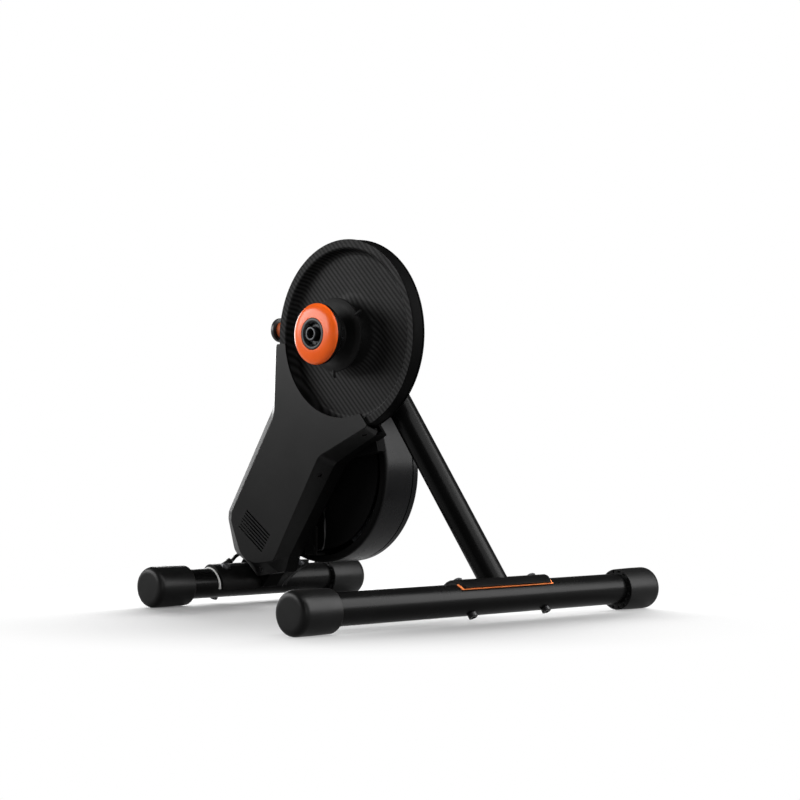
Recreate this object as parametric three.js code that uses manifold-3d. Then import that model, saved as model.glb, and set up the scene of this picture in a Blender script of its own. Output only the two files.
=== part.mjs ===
// Direct drive bike trainer: a frame casting on two cross legs carries a fixed hollow axle,
// a large pulley disc with a one-cog freehub, and a belt-driven flywheel with its brake.
// Millimetres. X points to the front leg, Y away from the drive side, Z up.
// While building, the axle stands at x = 0 and the disc's front face at y = 0.
import * as THREE from 'three';
import { mergeVertices } from 'three/addons/utils/BufferGeometryUtils.js';
import Module from 'manifold-3d';

const wasm = await Module();
wasm.setup();

// Main sizes
const axleHeight = 350;
const dropoutSpacing = 135;
const axleDriveEnd = -60;
const axleRadius = 8.8;
const axleBore = 5;

// Clearances
const seat = 0.15;
const slip = 0.3;
const touch = 0.2;

// Pulley disc and belt
const discRadius = 122;
const discWidth = 20;
const flangeWidth = 2;
const rimRing = 12;
const dishDepth = 16;
const hubConeRadius = 50;
const hubFront = -10;
const hubRadius = 27;
const beltThickness = 3.6;
const beltSide = 0.4;
const discGroove = 117.5;

// Flywheel and its small pulley
const wheelShares = [-0.302857, 0.502857];
const [flywheelX, flywheelHeight] = wheelShares.map((share) => share * axleHeight);
const flywheelRadius = 121.5;
const flywheelFront = 58;
const flywheelWidth = 62;
const flywheelWall = 9;
const flywheelWeb = 9;
const flywheelEdge = 5;
const backBand = 10.8;
const bandGroove = 1.6;
const shaftRadius = 8.4;
const pinionGroove = 15.6;
const pinionFlange = 20.5;
const pinionWidth = 20;

// Belt idler
const idlerReach = 37;
const idlerRise = 13;
const idlerX = flywheelX + idlerReach;
const idlerHeight = flywheelHeight + idlerRise;
const idlerRadius = 14;
const idlerPin = 5;
const idlerPinDepth = 12;

// Bearings
const hubBearingOuter = 17.5;
const hubBearingWidth = 28;
const wheelBearingOuter = 17.5;
const wheelBearingWidth = 10;

// Cog and its guards
const freehubRadius = 17.2;
const splineDepth = 1.2;
const lockringRadius = 20;
const lockringBore = 13.3;
const lockringWidth = 6;
const lockringFace = -57;
const capRadius = 38.8;
const capRim = -49;
const capSkin = 2.4;
const cogTeeth = 14;
const cogTip = 31.4;
const cogRoot = 25.2;
const cogWidth = 2.4;
const cogFace = -33.5;
const rearGuardRadius = 47;
const rearGuardFace = -20;
const rearGuardSkin = 2.6;
const tabReach = 54;
const tabRadius = 2;

// Frame casting
const castFront = 20.3;
const castDepth = 20;
const castWall = 5;
const bossRadius = 42;
const bossBack = 56;
const bossNose = 66;
const noseRadius = 25;
const socketRadius = 20.4;
const wheelBossRadius = 27;
const endCapRadius = 17;
const pillarRadius = 3;

// Cover on the drive side
const coverFace = -6;
const coverBack = 20;
const coverWall = 3;
const cutoutStep = 17;
const coverCutout = discRadius - cutoutStep;
const discGap = 2.2;
const slotCount = 7;
const slotPitch = 4.4;
const slotHeight = 2;
const slotLength = 56;
const slotX = -163;
const slotZ = 96;
const slotTilt = 35;
const screwRadius = 2.3;
const screwLength = 4;

// Legs
const legRadius = 19.4;
const legWall = 2.5;
const legHeight = 27.5;
const frontLegX = 232;
const frontLegLeft = -310;
const frontLegRight = 320;
const rearLegShare = -0.58;
const rearLegX = rearLegShare * axleHeight;
const rearLegLeft = -153;
const rearLegRight = 216;
const strutRadius = 17.2;
const strutWall = 2.5;
const strutSide = 42.8;
const strutTopGap = 17;
const strutPlug = 30;
const strutLeanShare = 0.6;
const footRadius = 26.5;
const footLength = 60;
const footDepth = 50;
const footEdge = 9;
const footThrow = 1;
const notchCount = 16;
const notchWidth = 2.6;
const notchDepth = 2.2;
const notchRing = 23;

// Saddles clamped round the legs
const saddleSkin = 3.6;
const trimSkin = 1.4;
const trimLip = 1.8;
const saddleHalf = 93;
const saddleSpread = 80;
const boltSpacing = 133;
const boltRadius = 4;
const boltHead = 5.8;
const boltHeadHeight = 4.6;
const nutAcross = 6.6;
const nutHeight = 2.6;
const frontSaddleSide = 44;
const rearSaddleSide = 35;
const frontTilt = -33;
const rearTilt = 30;

// Carry handle
const handleSide = 43;
const handleRise = 11.5;
const handleHeight = axleHeight + handleRise;
const handleTip = -170;
const handleRoot = -36;
const handleCapRadius = 16.2;
const handleCapWidth = 7;
const handleRingRadius = 11.6;
const handleRingWidth = 13;
const handleGripRadius = 15;
const handleBarRadius = 8;

// Brake, electronics and power lead
const plateGap = 8.5;
const plateRadius = flywheelRadius - flywheelWall - plateGap;
const plateFront = 62;
const plateSkin = 3;
const poleCount = 4;
const poleWidth = 24;
const poleDepth = 24;
const airGap = 2;
const shoeDepth = 18.5;
const coreInner = 30.5;
const coreOuter = 46;
const coilWall = 8;
const coilInner = 56;
const coilOuter = flywheelRadius - flywheelWall - airGap - shoeDepth;
const boardWidth = 58;
const boardHeight = 44;
const boardSkin = 1.6;
const boardStand = 7;
const boardShares = [-0.457143, 0.277143];
const [boardX, boardZ] = boardShares.map((share) => share * axleHeight);
const wireRadius = 1.3;
const leadRadius = 2.4;
const jackRadius = 4.2;
const jackLength = 19;
const fromRearLeg = ([x, y, z]) => [rearLegX + x, y, legHeight + z];
const jackStart = fromRearLeg([-14, 4, 27.5]);
const jackEnd = fromRearLeg([-23.5, -8.5, 17.5]);
const powerExit = fromRearLeg([-9, 27, 40.5]);
const powerEntry = fromRearLeg([11, 27, 40.5]);
const webHoleShares = [-0.351429, 0.24];
const webHole = webHoleShares.map((share) => share * axleHeight);
const webHoleRadius = 3;
const plateHoleReach = 8;
const plateHoleDrop = 48;
const plateHole = [flywheelX + plateHoleReach, flywheelHeight - plateHoleDrop];
const bracketReach = 19;
const bracketX = webHole[0] + bracketReach;
const bracketZ = webHole[1] - bracketReach;
const bracketWidth = 22;
const bracketHeight = 38;
const bracketSkin = 3;

// Facets round large, middle and small circles
const fine = 48;
const middle = 24;
const coarse = 12;
const bendSteps = 4;
const edgeSteps = 3;
const cornerLeast = 0.5;
const weld = 0.0001;

const solid = (geometry) => {
  const bare = new THREE.BufferGeometry();
  bare.setAttribute('position', geometry.getAttribute('position'));
  if (geometry.index) bare.setIndex(geometry.index);
  const merged = mergeVertices(bare, weld);
  return new wasm.Manifold(new wasm.Mesh({
    numProp: 3,
    vertProperties: new Float32Array(merged.getAttribute('position').array),
    triVerts: new Uint32Array(merged.index.array),
  }));
};

const addAll = (first, ...rest) => rest.reduce((sum, next) => sum.add(next), first);
const cutAll = (first, ...rest) => rest.reduce((sum, next) => sum.subtract(next), first);

// A cylinder along Y round the point [x, z]
const drum = (radius, from, to, [x, z] = [0, 0], facets = middle) => {
  const geometry = new THREE.CylinderGeometry(radius, radius, to - from, facets);
  geometry.translate(x, (from + to) / 2, z);
  return solid(geometry);
};

const ring = (outer, inner, from, to, at, facets) =>
  drum(outer, from, to, at, facets).subtract(drum(inner, from - outer, to + outer, at, facets));

// A cone frustum along Y
const cone = (radiusFrom, radiusTo, from, to, [x, z] = [0, 0], facets = middle) => {
  const geometry = new THREE.CylinderGeometry(radiusTo, radiusFrom, to - from, facets);
  geometry.translate(x, (from + to) / 2, z);
  return solid(geometry);
};

// A cylinder between two points of space
const rod = (start, end, radius, facets = coarse) => {
  const a = new THREE.Vector3(...start);
  const b = new THREE.Vector3(...end);
  const geometry = new THREE.CylinderGeometry(radius, radius, a.distanceTo(b), facets);
  const turn = new THREE.Quaternion();
  turn.setFromUnitVectors(new THREE.Vector3(0, 1, 0), b.clone().sub(a).normalize());
  geometry.applyQuaternion(turn);
  geometry.translate(...a.add(b).multiplyScalar(0.5).toArray());
  return solid(geometry);
};

const box = ([x0, y0, z0], [x1, y1, z1]) => {
  const geometry = new THREE.BoxGeometry(x1 - x0, y1 - y0, z1 - z0);
  geometry.translate((x0 + x1) / 2, (y0 + y1) / 2, (z0 + z1) / 2);
  return solid(geometry);
};

// A turned body about Y from a closed or axis-to-axis list of [radius, y]
const turned = (profile, [x, z] = [0, 0], facets = fine) => {
  const geometry = new THREE.LatheGeometry(profile.map((p) => new THREE.Vector2(...p)), facets);
  geometry.translate(x, 0, z);
  return solid(geometry);
};

// An [x, z] outline pushed along Y
const slab = (outline, from, to) => {
  const shape = new THREE.Shape(outline.map(([x, z]) => new THREE.Vector2(x, z)));
  const geometry = new THREE.ExtrudeGeometry(shape, { depth: to - from, bevelEnabled: false });
  geometry.rotateX(Math.PI / 2);
  geometry.translate(0, to, 0);
  return solid(geometry);
};

// A body skinned through outlines of equal count, each at its own y, counter-clockwise from -Y
const loft = (sections) => {
  const count = sections[0].outline.length;
  const positions = sections.flatMap(({ y, outline }) => outline.flatMap(([x, z]) => [x, y, z]));
  const index = [];
  sections.slice(1).forEach((_, level) => {
    for (let i = 0; i < count; i += 1) {
      const next = (i + 1) % count;
      const low = level * count;
      const high = low + count;
      index.push(low + i, high + next, low + next, low + i, high + i, high + next);
    }
  });
  const cap = (outline, start, flip) => {
    const points = outline.map(([x, z]) => new THREE.Vector2(x, z));
    THREE.ShapeUtils.triangulateShape(points, []).forEach(([a, b, c]) => {
      index.push(...(flip ? [start + a, start + c, start + b] : [start + a, start + b, start + c]));
    });
  };
  cap(sections[0].outline, 0, false);
  cap(sections.at(-1).outline, (sections.length - 1) * count, true);
  const geometry = new THREE.BufferGeometry();
  geometry.setAttribute('position', new THREE.Float32BufferAttribute(positions, 3));
  geometry.setIndex(index);
  return solid(geometry);
};

// Corners rounded with one small arc each, none longer than its share of a side
const reachShare = 0.45;
const rounded = (outline, radii) => outline.flatMap((corner, i) => {
  const here = new THREE.Vector2(...corner);
  const back = new THREE.Vector2(...outline.at(i - 1)).sub(here);
  const ahead = new THREE.Vector2(...outline[(i + 1) % outline.length]).sub(here);
  const wish = Math.max(radii[i] / Math.tan(back.angleTo(ahead) / 2), cornerLeast);
  const reach = Math.min(wish, back.length() * reachShare, ahead.length() * reachShare);
  const start = back.setLength(reach).add(here);
  const end = ahead.setLength(reach).add(here);
  return new THREE.QuadraticBezierCurve(start, here, end).getPoints(bendSteps)
    .map((point) => [point.x, point.y]);
});

// An outline moved inwards by one wall
const inset = (outline, wall) => outline.map((corner, i) => {
  const side = (from, to) => {
    const along = new THREE.Vector2(to[0] - from[0], to[1] - from[1]).normalize();
    return new THREE.Vector2(-along.y, along.x);
  };
  const before = side(outline.at(i - 1), corner);
  const after = side(corner, outline[(i + 1) % outline.length]);
  const middleWay = before.clone().add(after);
  const move = middleWay.multiplyScalar(wall / (1 + before.dot(after)));
  return [corner[0] + move.x, corner[1] + move.y];
});

// A tube swept along points of space
const sweep = (points, radius, facets, steps) => {
  const shape = new THREE.Shape();
  shape.absarc(0, 0, radius, 0, Math.PI * 2);
  const path = new THREE.CatmullRomCurve3(points.map((p) => new THREE.Vector3(...p)));
  return solid(new THREE.ExtrudeGeometry(shape, {
    steps, bevelEnabled: false, extrudePath: path, curveSegments: facets,
  }));
};

const trainer = new THREE.Group();
trainer.name = 'trainer';

// Stores a body as a mesh whose own origin is the given point
const place = (name, body, colour, roughness, metalness, origin = [0, 0, 0]) => {
  const data = body.getMesh();
  const geometry = new THREE.BufferGeometry();
  geometry.setAttribute('position', new THREE.BufferAttribute(new Float32Array(data.vertProperties), 3));
  geometry.setIndex(new THREE.BufferAttribute(new Uint32Array(data.triVerts), 1));
  geometry.translate(...origin.map((value) => -value));
  geometry.computeVertexNormals();
  const material = new THREE.MeshStandardMaterial({ color: colour, roughness, metalness });
  material.name = name;
  const mesh = new THREE.Mesh(geometry, material);
  mesh.name = name;
  mesh.position.set(...origin);
  trainer.add(mesh);
};

const black = 0x2a2a2b;
const softBlack = 0x1d1d1e;
const steel = 0xa9abad;
const darkSteel = 0x55575a;
const orange = 0xe8742c;
const pale = 0xc9cbcc;
const copper = 0xb06a3a;

// A cylinder on the handle's line
const alongHandle = (from, to, radius, facets) =>
  rod([from, handleSide, handleHeight], [to, handleSide, handleHeight], radius, facets);

// Points given as shares of the axle height
const fromShares = (pairs) => pairs.map((pair) => pair.map((share) => share * axleHeight));

const hub = [0, axleHeight];
const wheel = [flywheelX, flywheelHeight];
const idler = [idlerX, idlerHeight];
const hubPoint = [0, 0, axleHeight];
const wheelPoint = [flywheelX, 0, flywheelHeight];
const flywheelBack = flywheelFront + flywheelWidth;
const webFront = flywheelBack - flywheelWeb - flywheelEdge / 2;
const naveFront = webFront - flywheelWeb * 1.5;
const castBack = castFront + castDepth;
const axleFarEnd = axleDriveEnd + dropoutSpacing;
const boardBack = castBack - castWall - boardStand;
const boardFront = boardBack - boardSkin;
const gripEnd = handleRoot * 1.7 - slip;

// Outline of the housing, as shares of the axle height, from the top left corner
// down the rear side, along the bottom and up the front side: face, then rim, then the share
// of the cover's depth over which the wall flares from one to the other, and the corner radius
const housingShares = [
  { face: [-0.3474, 0.9743], rim: [-0.3657, 0.9743], flare: 0.19, bend: 0.012 },
  { face: [-0.358, 0.706], rim: [-0.373, 0.7437], flare: 0.19, bend: 0.12 },
  { face: [-0.5923, 0.3434], rim: [-0.6249, 0.3443], flare: 0.19, bend: 0.03 },
  { face: [-0.596, 0.3063], rim: [-0.6283, 0.3157], flare: 0.19, bend: 0.05 },
  { face: [-0.5443, 0.1914], rim: [-0.5897, 0.1894], flare: 0.19, bend: 0.12 },
  { face: [-0.5086, 0.1629], rim: [-0.54, 0.141], flare: 0.6, bend: 0.03 },
  { face: [-0.46, 0.1523], rim: [-0.4971, 0.1014], flare: 0.6, bend: 0.02 },
  { face: [-0.4, 0.1586], rim: [-0.3743, 0.1209], flare: 0.6, bend: 0.01 },
  { face: [-0.3589, 0.1671], rim: [-0.3529, 0.1771], flare: 1, bend: 0.015 },
  { face: [-0.118, 0.5571], rim: [-0.106, 0.5309], flare: 1, bend: 0.06 },
  { face: [0.1223, 0.6631], rim: [0.1029, 0.6366], flare: 1, bend: 0.006 },
  { face: [0.1334, 0.672], rim: [0.1134, 0.6486], flare: 1, bend: 0.004 },
  { face: [0.0974, 0.7146], rim: [0.0974, 0.7146], flare: 1, bend: 0.004 },
  { face: [-0.1714, 0.9743], rim: [-0.1714, 0.9743], flare: 1, bend: 0.004 },
];
const flareShares = [0, 0.19, 0.6, 1];
const coverDepth = coverBack - coverFace;
const housingCorners = (y) => housingShares.map(({ face, rim, flare }) => {
  const share = Math.min((y - coverFace) / (coverDepth * flare), 1);
  return [0, 1].map((k) => axleHeight * (face[k] + (rim[k] - face[k]) * share));
});
const housingAt = (y, wall = 0) =>
  rounded(inset(housingCorners(y), wall), housingShares.map(({ bend }) => bend * axleHeight));

// The point of the cover's wall over one corner-to-corner run, and the way out of the wall there
const wallPoint = (run, share, y) => {
  const corners = housingCorners(y);
  const from = corners[run];
  const to = corners[run + 1];
  const long = Math.hypot(to[0] - from[0], to[1] - from[1]);
  return {
    at: [from[0] + (to[0] - from[0]) * share, from[1] + (to[1] - from[1]) * share],
    out: [(to[1] - from[1]) / long, -(to[0] - from[0]) / long],
  };
};
const coverScrews = [
  { run: 9, share: 0.88, y: coverFace + coverDepth * 0.5 },
  { run: 8, share: 0.85, y: coverFace + coverDepth * 0.5 },
  { run: 6, share: 0.3, y: coverFace + coverDepth * 0.3 },
  { run: 3, share: 0.5, y: coverFace + coverDepth * 0.45 },
  { run: 1, share: 0.12, y: coverFace + coverDepth * 0.45 },
].map(({ run, share, y }) => {
  const { at, out } = wallPoint(run, share, y);
  const point = (distance) => [at[0] + out[0] * distance, y, at[1] + out[1] * distance];
  return { y, point };
});

// Cover: a flared skin with a round cut-out for the disc, cooling slots and screw pillars
const coverSkin = () => {
  const [, low, high] = flareShares;
  const outer = loft(flareShares.map((share) => {
    const y = coverFace + coverDepth * share;
    return { y, outline: housingAt(y) };
  }));
  const hollowDepths = [coverWall, coverDepth * low + coverWall / 2, coverDepth * high, coverDepth + touch];
  const inner = loft(hollowDepths.map((depth) => {
    const y = coverFace + depth;
    return { y, outline: housingAt(Math.min(y, coverBack), coverWall) };
  }));
  const pillars = coverScrews.map(({ point }) =>
    rod(point(-coverWall / 2), point(-screwLength * 1.6), screwRadius * 2).intersect(outer));
  return addAll(outer.subtract(inner), ...pillars);
};
const buildCover = () => {
  const front = coverFace - coverWall;
  const behind = coverFace + coverWall * 2;
  const cutout = drum(coverCutout, front, behind, hub, fine);
  const discRoom = drum(discRadius + discGap, coverFace + coverWall, coverBack + coverWall, hub, fine);
  const slots = Array.from({ length: slotCount }, (_, i) => {
    const geometry = new THREE.BoxGeometry(slotLength, behind - front, slotHeight);
    geometry.translate(0, (front + behind) / 2, (i - (slotCount - 1) / 2) * slotPitch);
    geometry.rotateY(THREE.MathUtils.degToRad(slotTilt));
    geometry.translate(slotX, 0, slotZ);
    return solid(geometry);
  });
  const screwHoles = coverScrews.map(({ point }) =>
    rod(point(screwRadius), point(-screwLength * 1.25 - touch), screwRadius + seat, coarse / 2));
  const idlerRoom = drum(idlerRadius + beltThickness, coverFace + coverWall, coverBack + coverWall, idler);
  return cutAll(coverSkin(), cutout, discRoom, idlerRoom, ...slots, ...screwHoles);
};
place('cover', buildCover(), black, 0.5, 0.1);

coverScrews.forEach(({ point }, i) => {
  const shank = rod(point(-screwLength * 0.25), point(-screwLength * 1.25), screwRadius, coarse / 2);
  const socket = rod(point(0), point(-screwLength * 0.75), screwRadius / 2, 6);
  place(`cover_screw_${i + 1}`, shank.subtract(socket), darkSteel, 0.4, 0.8);
});

// Belt path: the belt lies on the disc and the pinion, and bends back round the idler
const beltLine = discGroove + slip + beltThickness / 2;
const pinionLine = pinionGroove + slip + beltThickness / 2;
const idlerLine = idlerRadius + slip + beltThickness / 2;
const stops = [
  { centre: hub, radius: beltLine, sense: 1 },
  { centre: wheel, radius: pinionLine, sense: 1 },
  { centre: idler, radius: idlerLine, sense: -1 },
];
// Where a straight run leaves one wheel and meets the next, going round counter-clockwise from -Y
const beltRun = (from, to) => {
  const across = [to.centre[0] - from.centre[0], to.centre[1] - from.centre[1]];
  const distance = Math.hypot(...across);
  const signedFrom = from.radius * from.sense;
  const signedTo = to.radius * to.sense;
  const heading = Math.atan2(across[1], across[0]);
  const angle = heading - Math.acos((signedFrom - signedTo) / distance);
  return { leave: angle + (from.sense < 0 ? Math.PI : 0), meet: angle + (to.sense < 0 ? Math.PI : 0) };
};
const beltOutline = (shift) => {
  const runs = stops.map((stop, i) => beltRun(stop, stops[(i + 1) % stops.length]));
  return stops.flatMap((stop, i) => {
    const start = runs.at(i - 1).meet;
    const turn = 2 * Math.PI;
    const raw = runs[i].leave - start;
    const sweepAngle = stop.sense * (((raw * stop.sense) % turn + turn) % turn);
    const facets = stop.centre === hub ? fine : middle;
    const steps = Math.max(edgeSteps, Math.ceil(Math.abs(sweepAngle) / turn * facets));
    const radius = stop.radius + shift * stop.sense;
    return Array.from({ length: steps + 1 }, (_, k) => {
      const angle = start + sweepAngle * k / steps;
      return [stop.centre[0] + radius * Math.cos(angle), stop.centre[1] + radius * Math.sin(angle)];
    });
  });
};
const beltFrom = flangeWidth + beltSide;
const beltTo = discWidth - flangeWidth - beltSide;
const buildBelt = () => slab(beltOutline(beltThickness / 2), beltFrom, beltTo)
  .subtract(slab(beltOutline(-beltThickness / 2), beltFrom - flangeWidth, beltTo + flangeWidth));
place('belt', buildBelt(), softBlack, 0.85, 0);

// Drive pulley disc: flanged rim, dished web, hub cone with two bearing seats
const hubBack = castFront + flangeWidth;
const buildDisc = () => {
  const webBack = discWidth - flangeWidth * 2;
  const rimInner = discRadius - rimRing;
  const coneFoot = dishDepth - flangeWidth;
  const seatRadius = hubBearingOuter + seat;
  return turned([
    [seatRadius, hubFront],
    [hubRadius, hubFront],
    [hubRadius * 1.15, hubFront * 0.1],
    [hubRadius * 1.4, coneFoot * 0.6],
    [hubConeRadius, coneFoot],
    [rimInner - flangeWidth, coneFoot],
    [rimInner, 0],
    [discRadius, 0],
    [discRadius, flangeWidth],
    [discGroove, flangeWidth],
    [discGroove, discWidth - flangeWidth],
    [discRadius, discWidth - flangeWidth],
    [discRadius, discWidth],
    [rimInner, discWidth],
    [rimInner - flangeWidth, webBack + flangeWidth],
    [hubRadius + flangeWidth, webBack + flangeWidth],
    [hubRadius, hubBack],
    [seatRadius, hubBack],
    [seatRadius, hubFront],
  ], hub);
};
place('pulley_disc', buildDisc(), black, 0.55, 0.1, hubPoint);

const hubBearingFrom = (hubFront + hubBack - hubBearingWidth) / 2;
const hubBearingTo = hubBearingFrom + hubBearingWidth;
const hubBearing = ring(hubBearingOuter, axleRadius + seat, hubBearingFrom, hubBearingTo, hub);
place('hub_bearing', hubBearing, steel, 0.3, 0.9, hubPoint);

// Main axle, fixed in the frame and hollow for a skewer or thru axle
const capFrom = bossNose + touch;
place('main_axle', ring(axleRadius, axleBore, axleDriveEnd, axleFarEnd, hub), steel, 0.3, 0.9, hubPoint);
const buildEndCap = () => cutAll(cone(endCapRadius, endCapRadius * 0.8, capFrom, axleFarEnd - slip, hub),
  drum(axleRadius + seat, capFrom - slip, axleFarEnd + slip, hub));
place('axle_end_cap', buildEndCap(), darkSteel, 0.35, 0.8, hubPoint);

// Freehub body: splined barrel with a shoulder against the rear guard
const freehubFront = lockringFace + lockringWidth + touch;
const freehubBack = hubFront - slip;
const shoulderFace = rearGuardFace + rearGuardSkin * 2;
const splineCount = 9;
const buildFreehub = () => {
  const barrel = drum(freehubRadius, freehubFront, freehubBack, hub);
  const shoulder = drum(freehubRadius + splineDepth * 2, shoulderFace, freehubBack, hub);
  const grooves = Array.from({ length: splineCount }, (_, i) => {
    const angle = i * 2 * Math.PI / splineCount;
    const reach = freehubRadius + splineDepth;
    const at = [hub[0] + reach * Math.cos(angle), hub[1] + reach * Math.sin(angle)];
    return drum(splineDepth * 2, freehubFront - slip, shoulderFace - slip, at, coarse / 3);
  });
  const bore = drum(axleRadius + slip, freehubFront - slip, freehubBack + slip, hub);
  const mouth = drum(lockringBore, freehubFront - slip, freehubFront + lockringWidth, hub);
  return cutAll(barrel.add(shoulder), bore, mouth, ...grooves);
};
place('freehub_body', buildFreehub(), darkSteel, 0.35, 0.8, hubPoint);

// Single cog, each tooth drawn at these shares of its pitch
const toothShares = [-0.12, 0.12, 0.27, 0.42, 0.58, 0.73];
const buildCog = () => {
  const pitch = 2 * Math.PI / cogTeeth;
  const outline = Array.from({ length: cogTeeth }, (_, i) => {
    const at = (radius, share) => {
      const angle = (i + share) * pitch;
      return [hub[0] + radius * Math.cos(angle), hub[1] + radius * Math.sin(angle)];
    };
    const flank = (cogRoot + cogTip) / 2;
    const [rootIn, rootOut, rise, tipIn, tipOut, fall] = toothShares;
    return [at(cogRoot, rootIn), at(cogRoot, rootOut), at(flank, rise), at(cogTip, tipIn), at(cogTip, tipOut),
      at(flank, fall)];
  }).flat();
  return slab(outline, cogFace, cogFace + cogWidth)
    .subtract(drum(freehubRadius + seat, cogFace - cogWidth, cogFace + cogWidth * 2, hub));
};
place('cog', buildCog(), steel, 0.35, 0.9, hubPoint);

// Front guard: black spool between the orange cap and the cog
const guardRadius = capRadius - touch * 2;
const guardFace = capRim + touch;
const guardBack = guardFace + lockringWidth * 1.4;
const buildFrontGuard = () => {
  const bore = freehubRadius + seat;
  const core = freehubRadius * 1.35;
  return turned([
    [bore, freehubFront + touch],
    [freehubRadius + splineDepth * 2, freehubFront + touch],
    [freehubRadius + splineDepth * 2, guardFace],
    [guardRadius, guardFace],
    [guardRadius, guardBack - flangeWidth],
    [guardRadius - flangeWidth, guardBack],
    [core, guardBack],
    [core, cogFace - touch],
    [bore, cogFace - touch],
    [bore, freehubFront + touch],
  ], hub, middle);
};
place('front_guard', buildFrontGuard(), softBlack, 0.5, 0, hubPoint);

// Orange cap: a shallow dome over the front guard
const buildOrangeCap = () => {
  const inner = lockringRadius + slip;
  const rise = capRim - lockringFace - touch;
  const dome = (reach, height) => Array.from({ length: bendSteps + 1 }, (_, i) => {
    const angle = i / bendSteps * Math.PI / 2;
    return [inner + (reach - inner) * Math.sin(angle), capRim - height * Math.cos(angle)];
  });
  const outer = dome(capRadius, rise);
  const under = dome(capRadius - capSkin, rise - capSkin);
  return turned([...outer, ...under.reverse(), outer[0]], hub, middle);
};
place('orange_cap', buildOrangeCap(), orange, 0.35, 0, hubPoint);

// Lockring with wrench splines in its bore
const buildLockring = () => {
  const notches = Array.from({ length: coarse / 2 }, (_, i) => {
    const angle = i * 2 * Math.PI / (coarse / 2);
    const at = [hub[0] + lockringBore * Math.cos(angle), hub[1] + lockringBore * Math.sin(angle)];
    return drum(splineDepth, lockringFace - slip, lockringFace + lockringWidth + slip, at, coarse / 4);
  });
  const plain = ring(lockringRadius, lockringBore, lockringFace, lockringFace + lockringWidth, hub);
  return cutAll(plain, ...notches);
};
place('lockring', buildLockring(), pale, 0.4, 0.6, hubPoint);

// Rear guard: a shallow dish behind the cog with three chain-catching tabs at shares of a turn
const tabShares = [0.09, 0.42, 0.745];
const buildRearGuard = () => {
  const bore = freehubRadius + seat;
  const lip = rearGuardFace + rearGuardSkin * 2;
  const dish = turned([
    [bore, cogFace + cogWidth + touch],
    [freehubRadius * 1.35, cogFace + cogWidth + touch],
    [freehubRadius * 1.35, rearGuardFace],
    [rearGuardRadius * 0.86, rearGuardFace],
    [rearGuardRadius, lip - rearGuardSkin],
    [rearGuardRadius, lip],
    [rearGuardRadius * 0.86, rearGuardFace + rearGuardSkin],
    [freehubRadius * 1.35, rearGuardFace + rearGuardSkin],
    [freehubRadius * 1.35, shoulderFace - touch],
    [bore, shoulderFace - touch],
    [bore, cogFace + cogWidth + touch],
  ], hub, middle);
  const tabs = tabShares.map((share) => {
    const angle = share * 2 * Math.PI;
    const spot = (radius) =>
      [radius * Math.cos(angle), lip - tabRadius, axleHeight + radius * Math.sin(angle)];
    return rod(spot(rearGuardRadius * 0.95), spot(tabReach), tabRadius, coarse / 3);
  });
  return addAll(dish, ...tabs);
};
place('rear_guard', buildRearGuard(), softBlack, 0.55, 0, hubPoint);

// Flywheel: a heavy cup, open towards the frame, with a groove near its back edge
const buildFlywheel = () => {
  const inner = flywheelRadius - flywheelWall;
  const webBack = flywheelBack - flywheelEdge / 2;
  const bore = shaftRadius + seat;
  const nave = shaftRadius * 3;
  return turned([
    [bore, naveFront],
    [nave, naveFront],
    [nave * 1.15, webFront],
    [inner, webFront],
    [inner, flywheelFront],
    [flywheelRadius - flywheelEdge, flywheelFront],
    [flywheelRadius - flywheelEdge * 0.3, flywheelFront + flywheelEdge * 0.3],
    [flywheelRadius, flywheelFront + flywheelEdge],
    [flywheelRadius, flywheelBack - backBand],
    [flywheelRadius - bandGroove, flywheelBack - backBand],
    [flywheelRadius - bandGroove, flywheelBack - backBand + bandGroove],
    [flywheelRadius, flywheelBack - backBand + bandGroove],
    [flywheelRadius, flywheelBack - bandGroove],
    [flywheelRadius - bandGroove, flywheelBack],
    [inner, flywheelBack],
    [inner - flywheelEdge, webBack],
    [nave * 1.4, webBack],
    [nave * 1.2, flywheelBack],
    [bore, flywheelBack],
    [bore, naveFront],
  ], wheel);
};
place('flywheel', buildFlywheel(), steel, 0.35, 0.9, wheelPoint);

// Flywheel shaft with a locking collar at its outer end
const pinionFrom = (discWidth - pinionWidth) / 2;
const pinionTo = pinionFrom + pinionWidth;
const shaftBody = drum(shaftRadius, pinionFrom, flywheelBack + flangeWidth, wheel);
place('flywheel_shaft', shaftBody, steel, 0.3, 0.9, wheelPoint);

// Pinion on the shaft, grooved for the belt
const buildPinion = () => {
  const bore = shaftRadius + seat;
  return turned([
    [bore, pinionFrom],
    [pinionFlange, pinionFrom],
    [pinionFlange, pinionFrom + flangeWidth / 2],
    [pinionGroove, pinionFrom + flangeWidth],
    [pinionGroove, pinionTo - flangeWidth],
    [pinionFlange, pinionTo - flangeWidth / 2],
    [pinionFlange, pinionTo],
    [bore, pinionTo],
    [bore, pinionFrom],
  ], wheel, middle);
};
place('pinion', buildPinion(), darkSteel, 0.35, 0.9, wheelPoint);

const wheelBearings = [castFront + touch, bossBack - wheelBearingWidth - touch];
wheelBearings.forEach((from, i) => {
  const bearing = ring(wheelBearingOuter, shaftRadius + seat, from, from + wheelBearingWidth, wheel);
  place(`flywheel_bearing_${i + 1}`, bearing, steel, 0.3, 0.9, wheelPoint);
});

// Strut: the inclined leg tube between the frame's socket and the front saddle
const strutWay = new THREE.Vector3(strutLeanShare, 0, -Math.sqrt(1 - strutLeanShare ** 2));
const strutFoot = new THREE.Vector3(frontLegX, strutSide, legHeight);
const strutLength = (legHeight - axleHeight) / strutWay.z;
const strutHead = (gap) => strutFoot.clone().addScaledVector(strutWay, gap - strutLength);
const strutTop = strutHead(strutTopGap);

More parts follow.
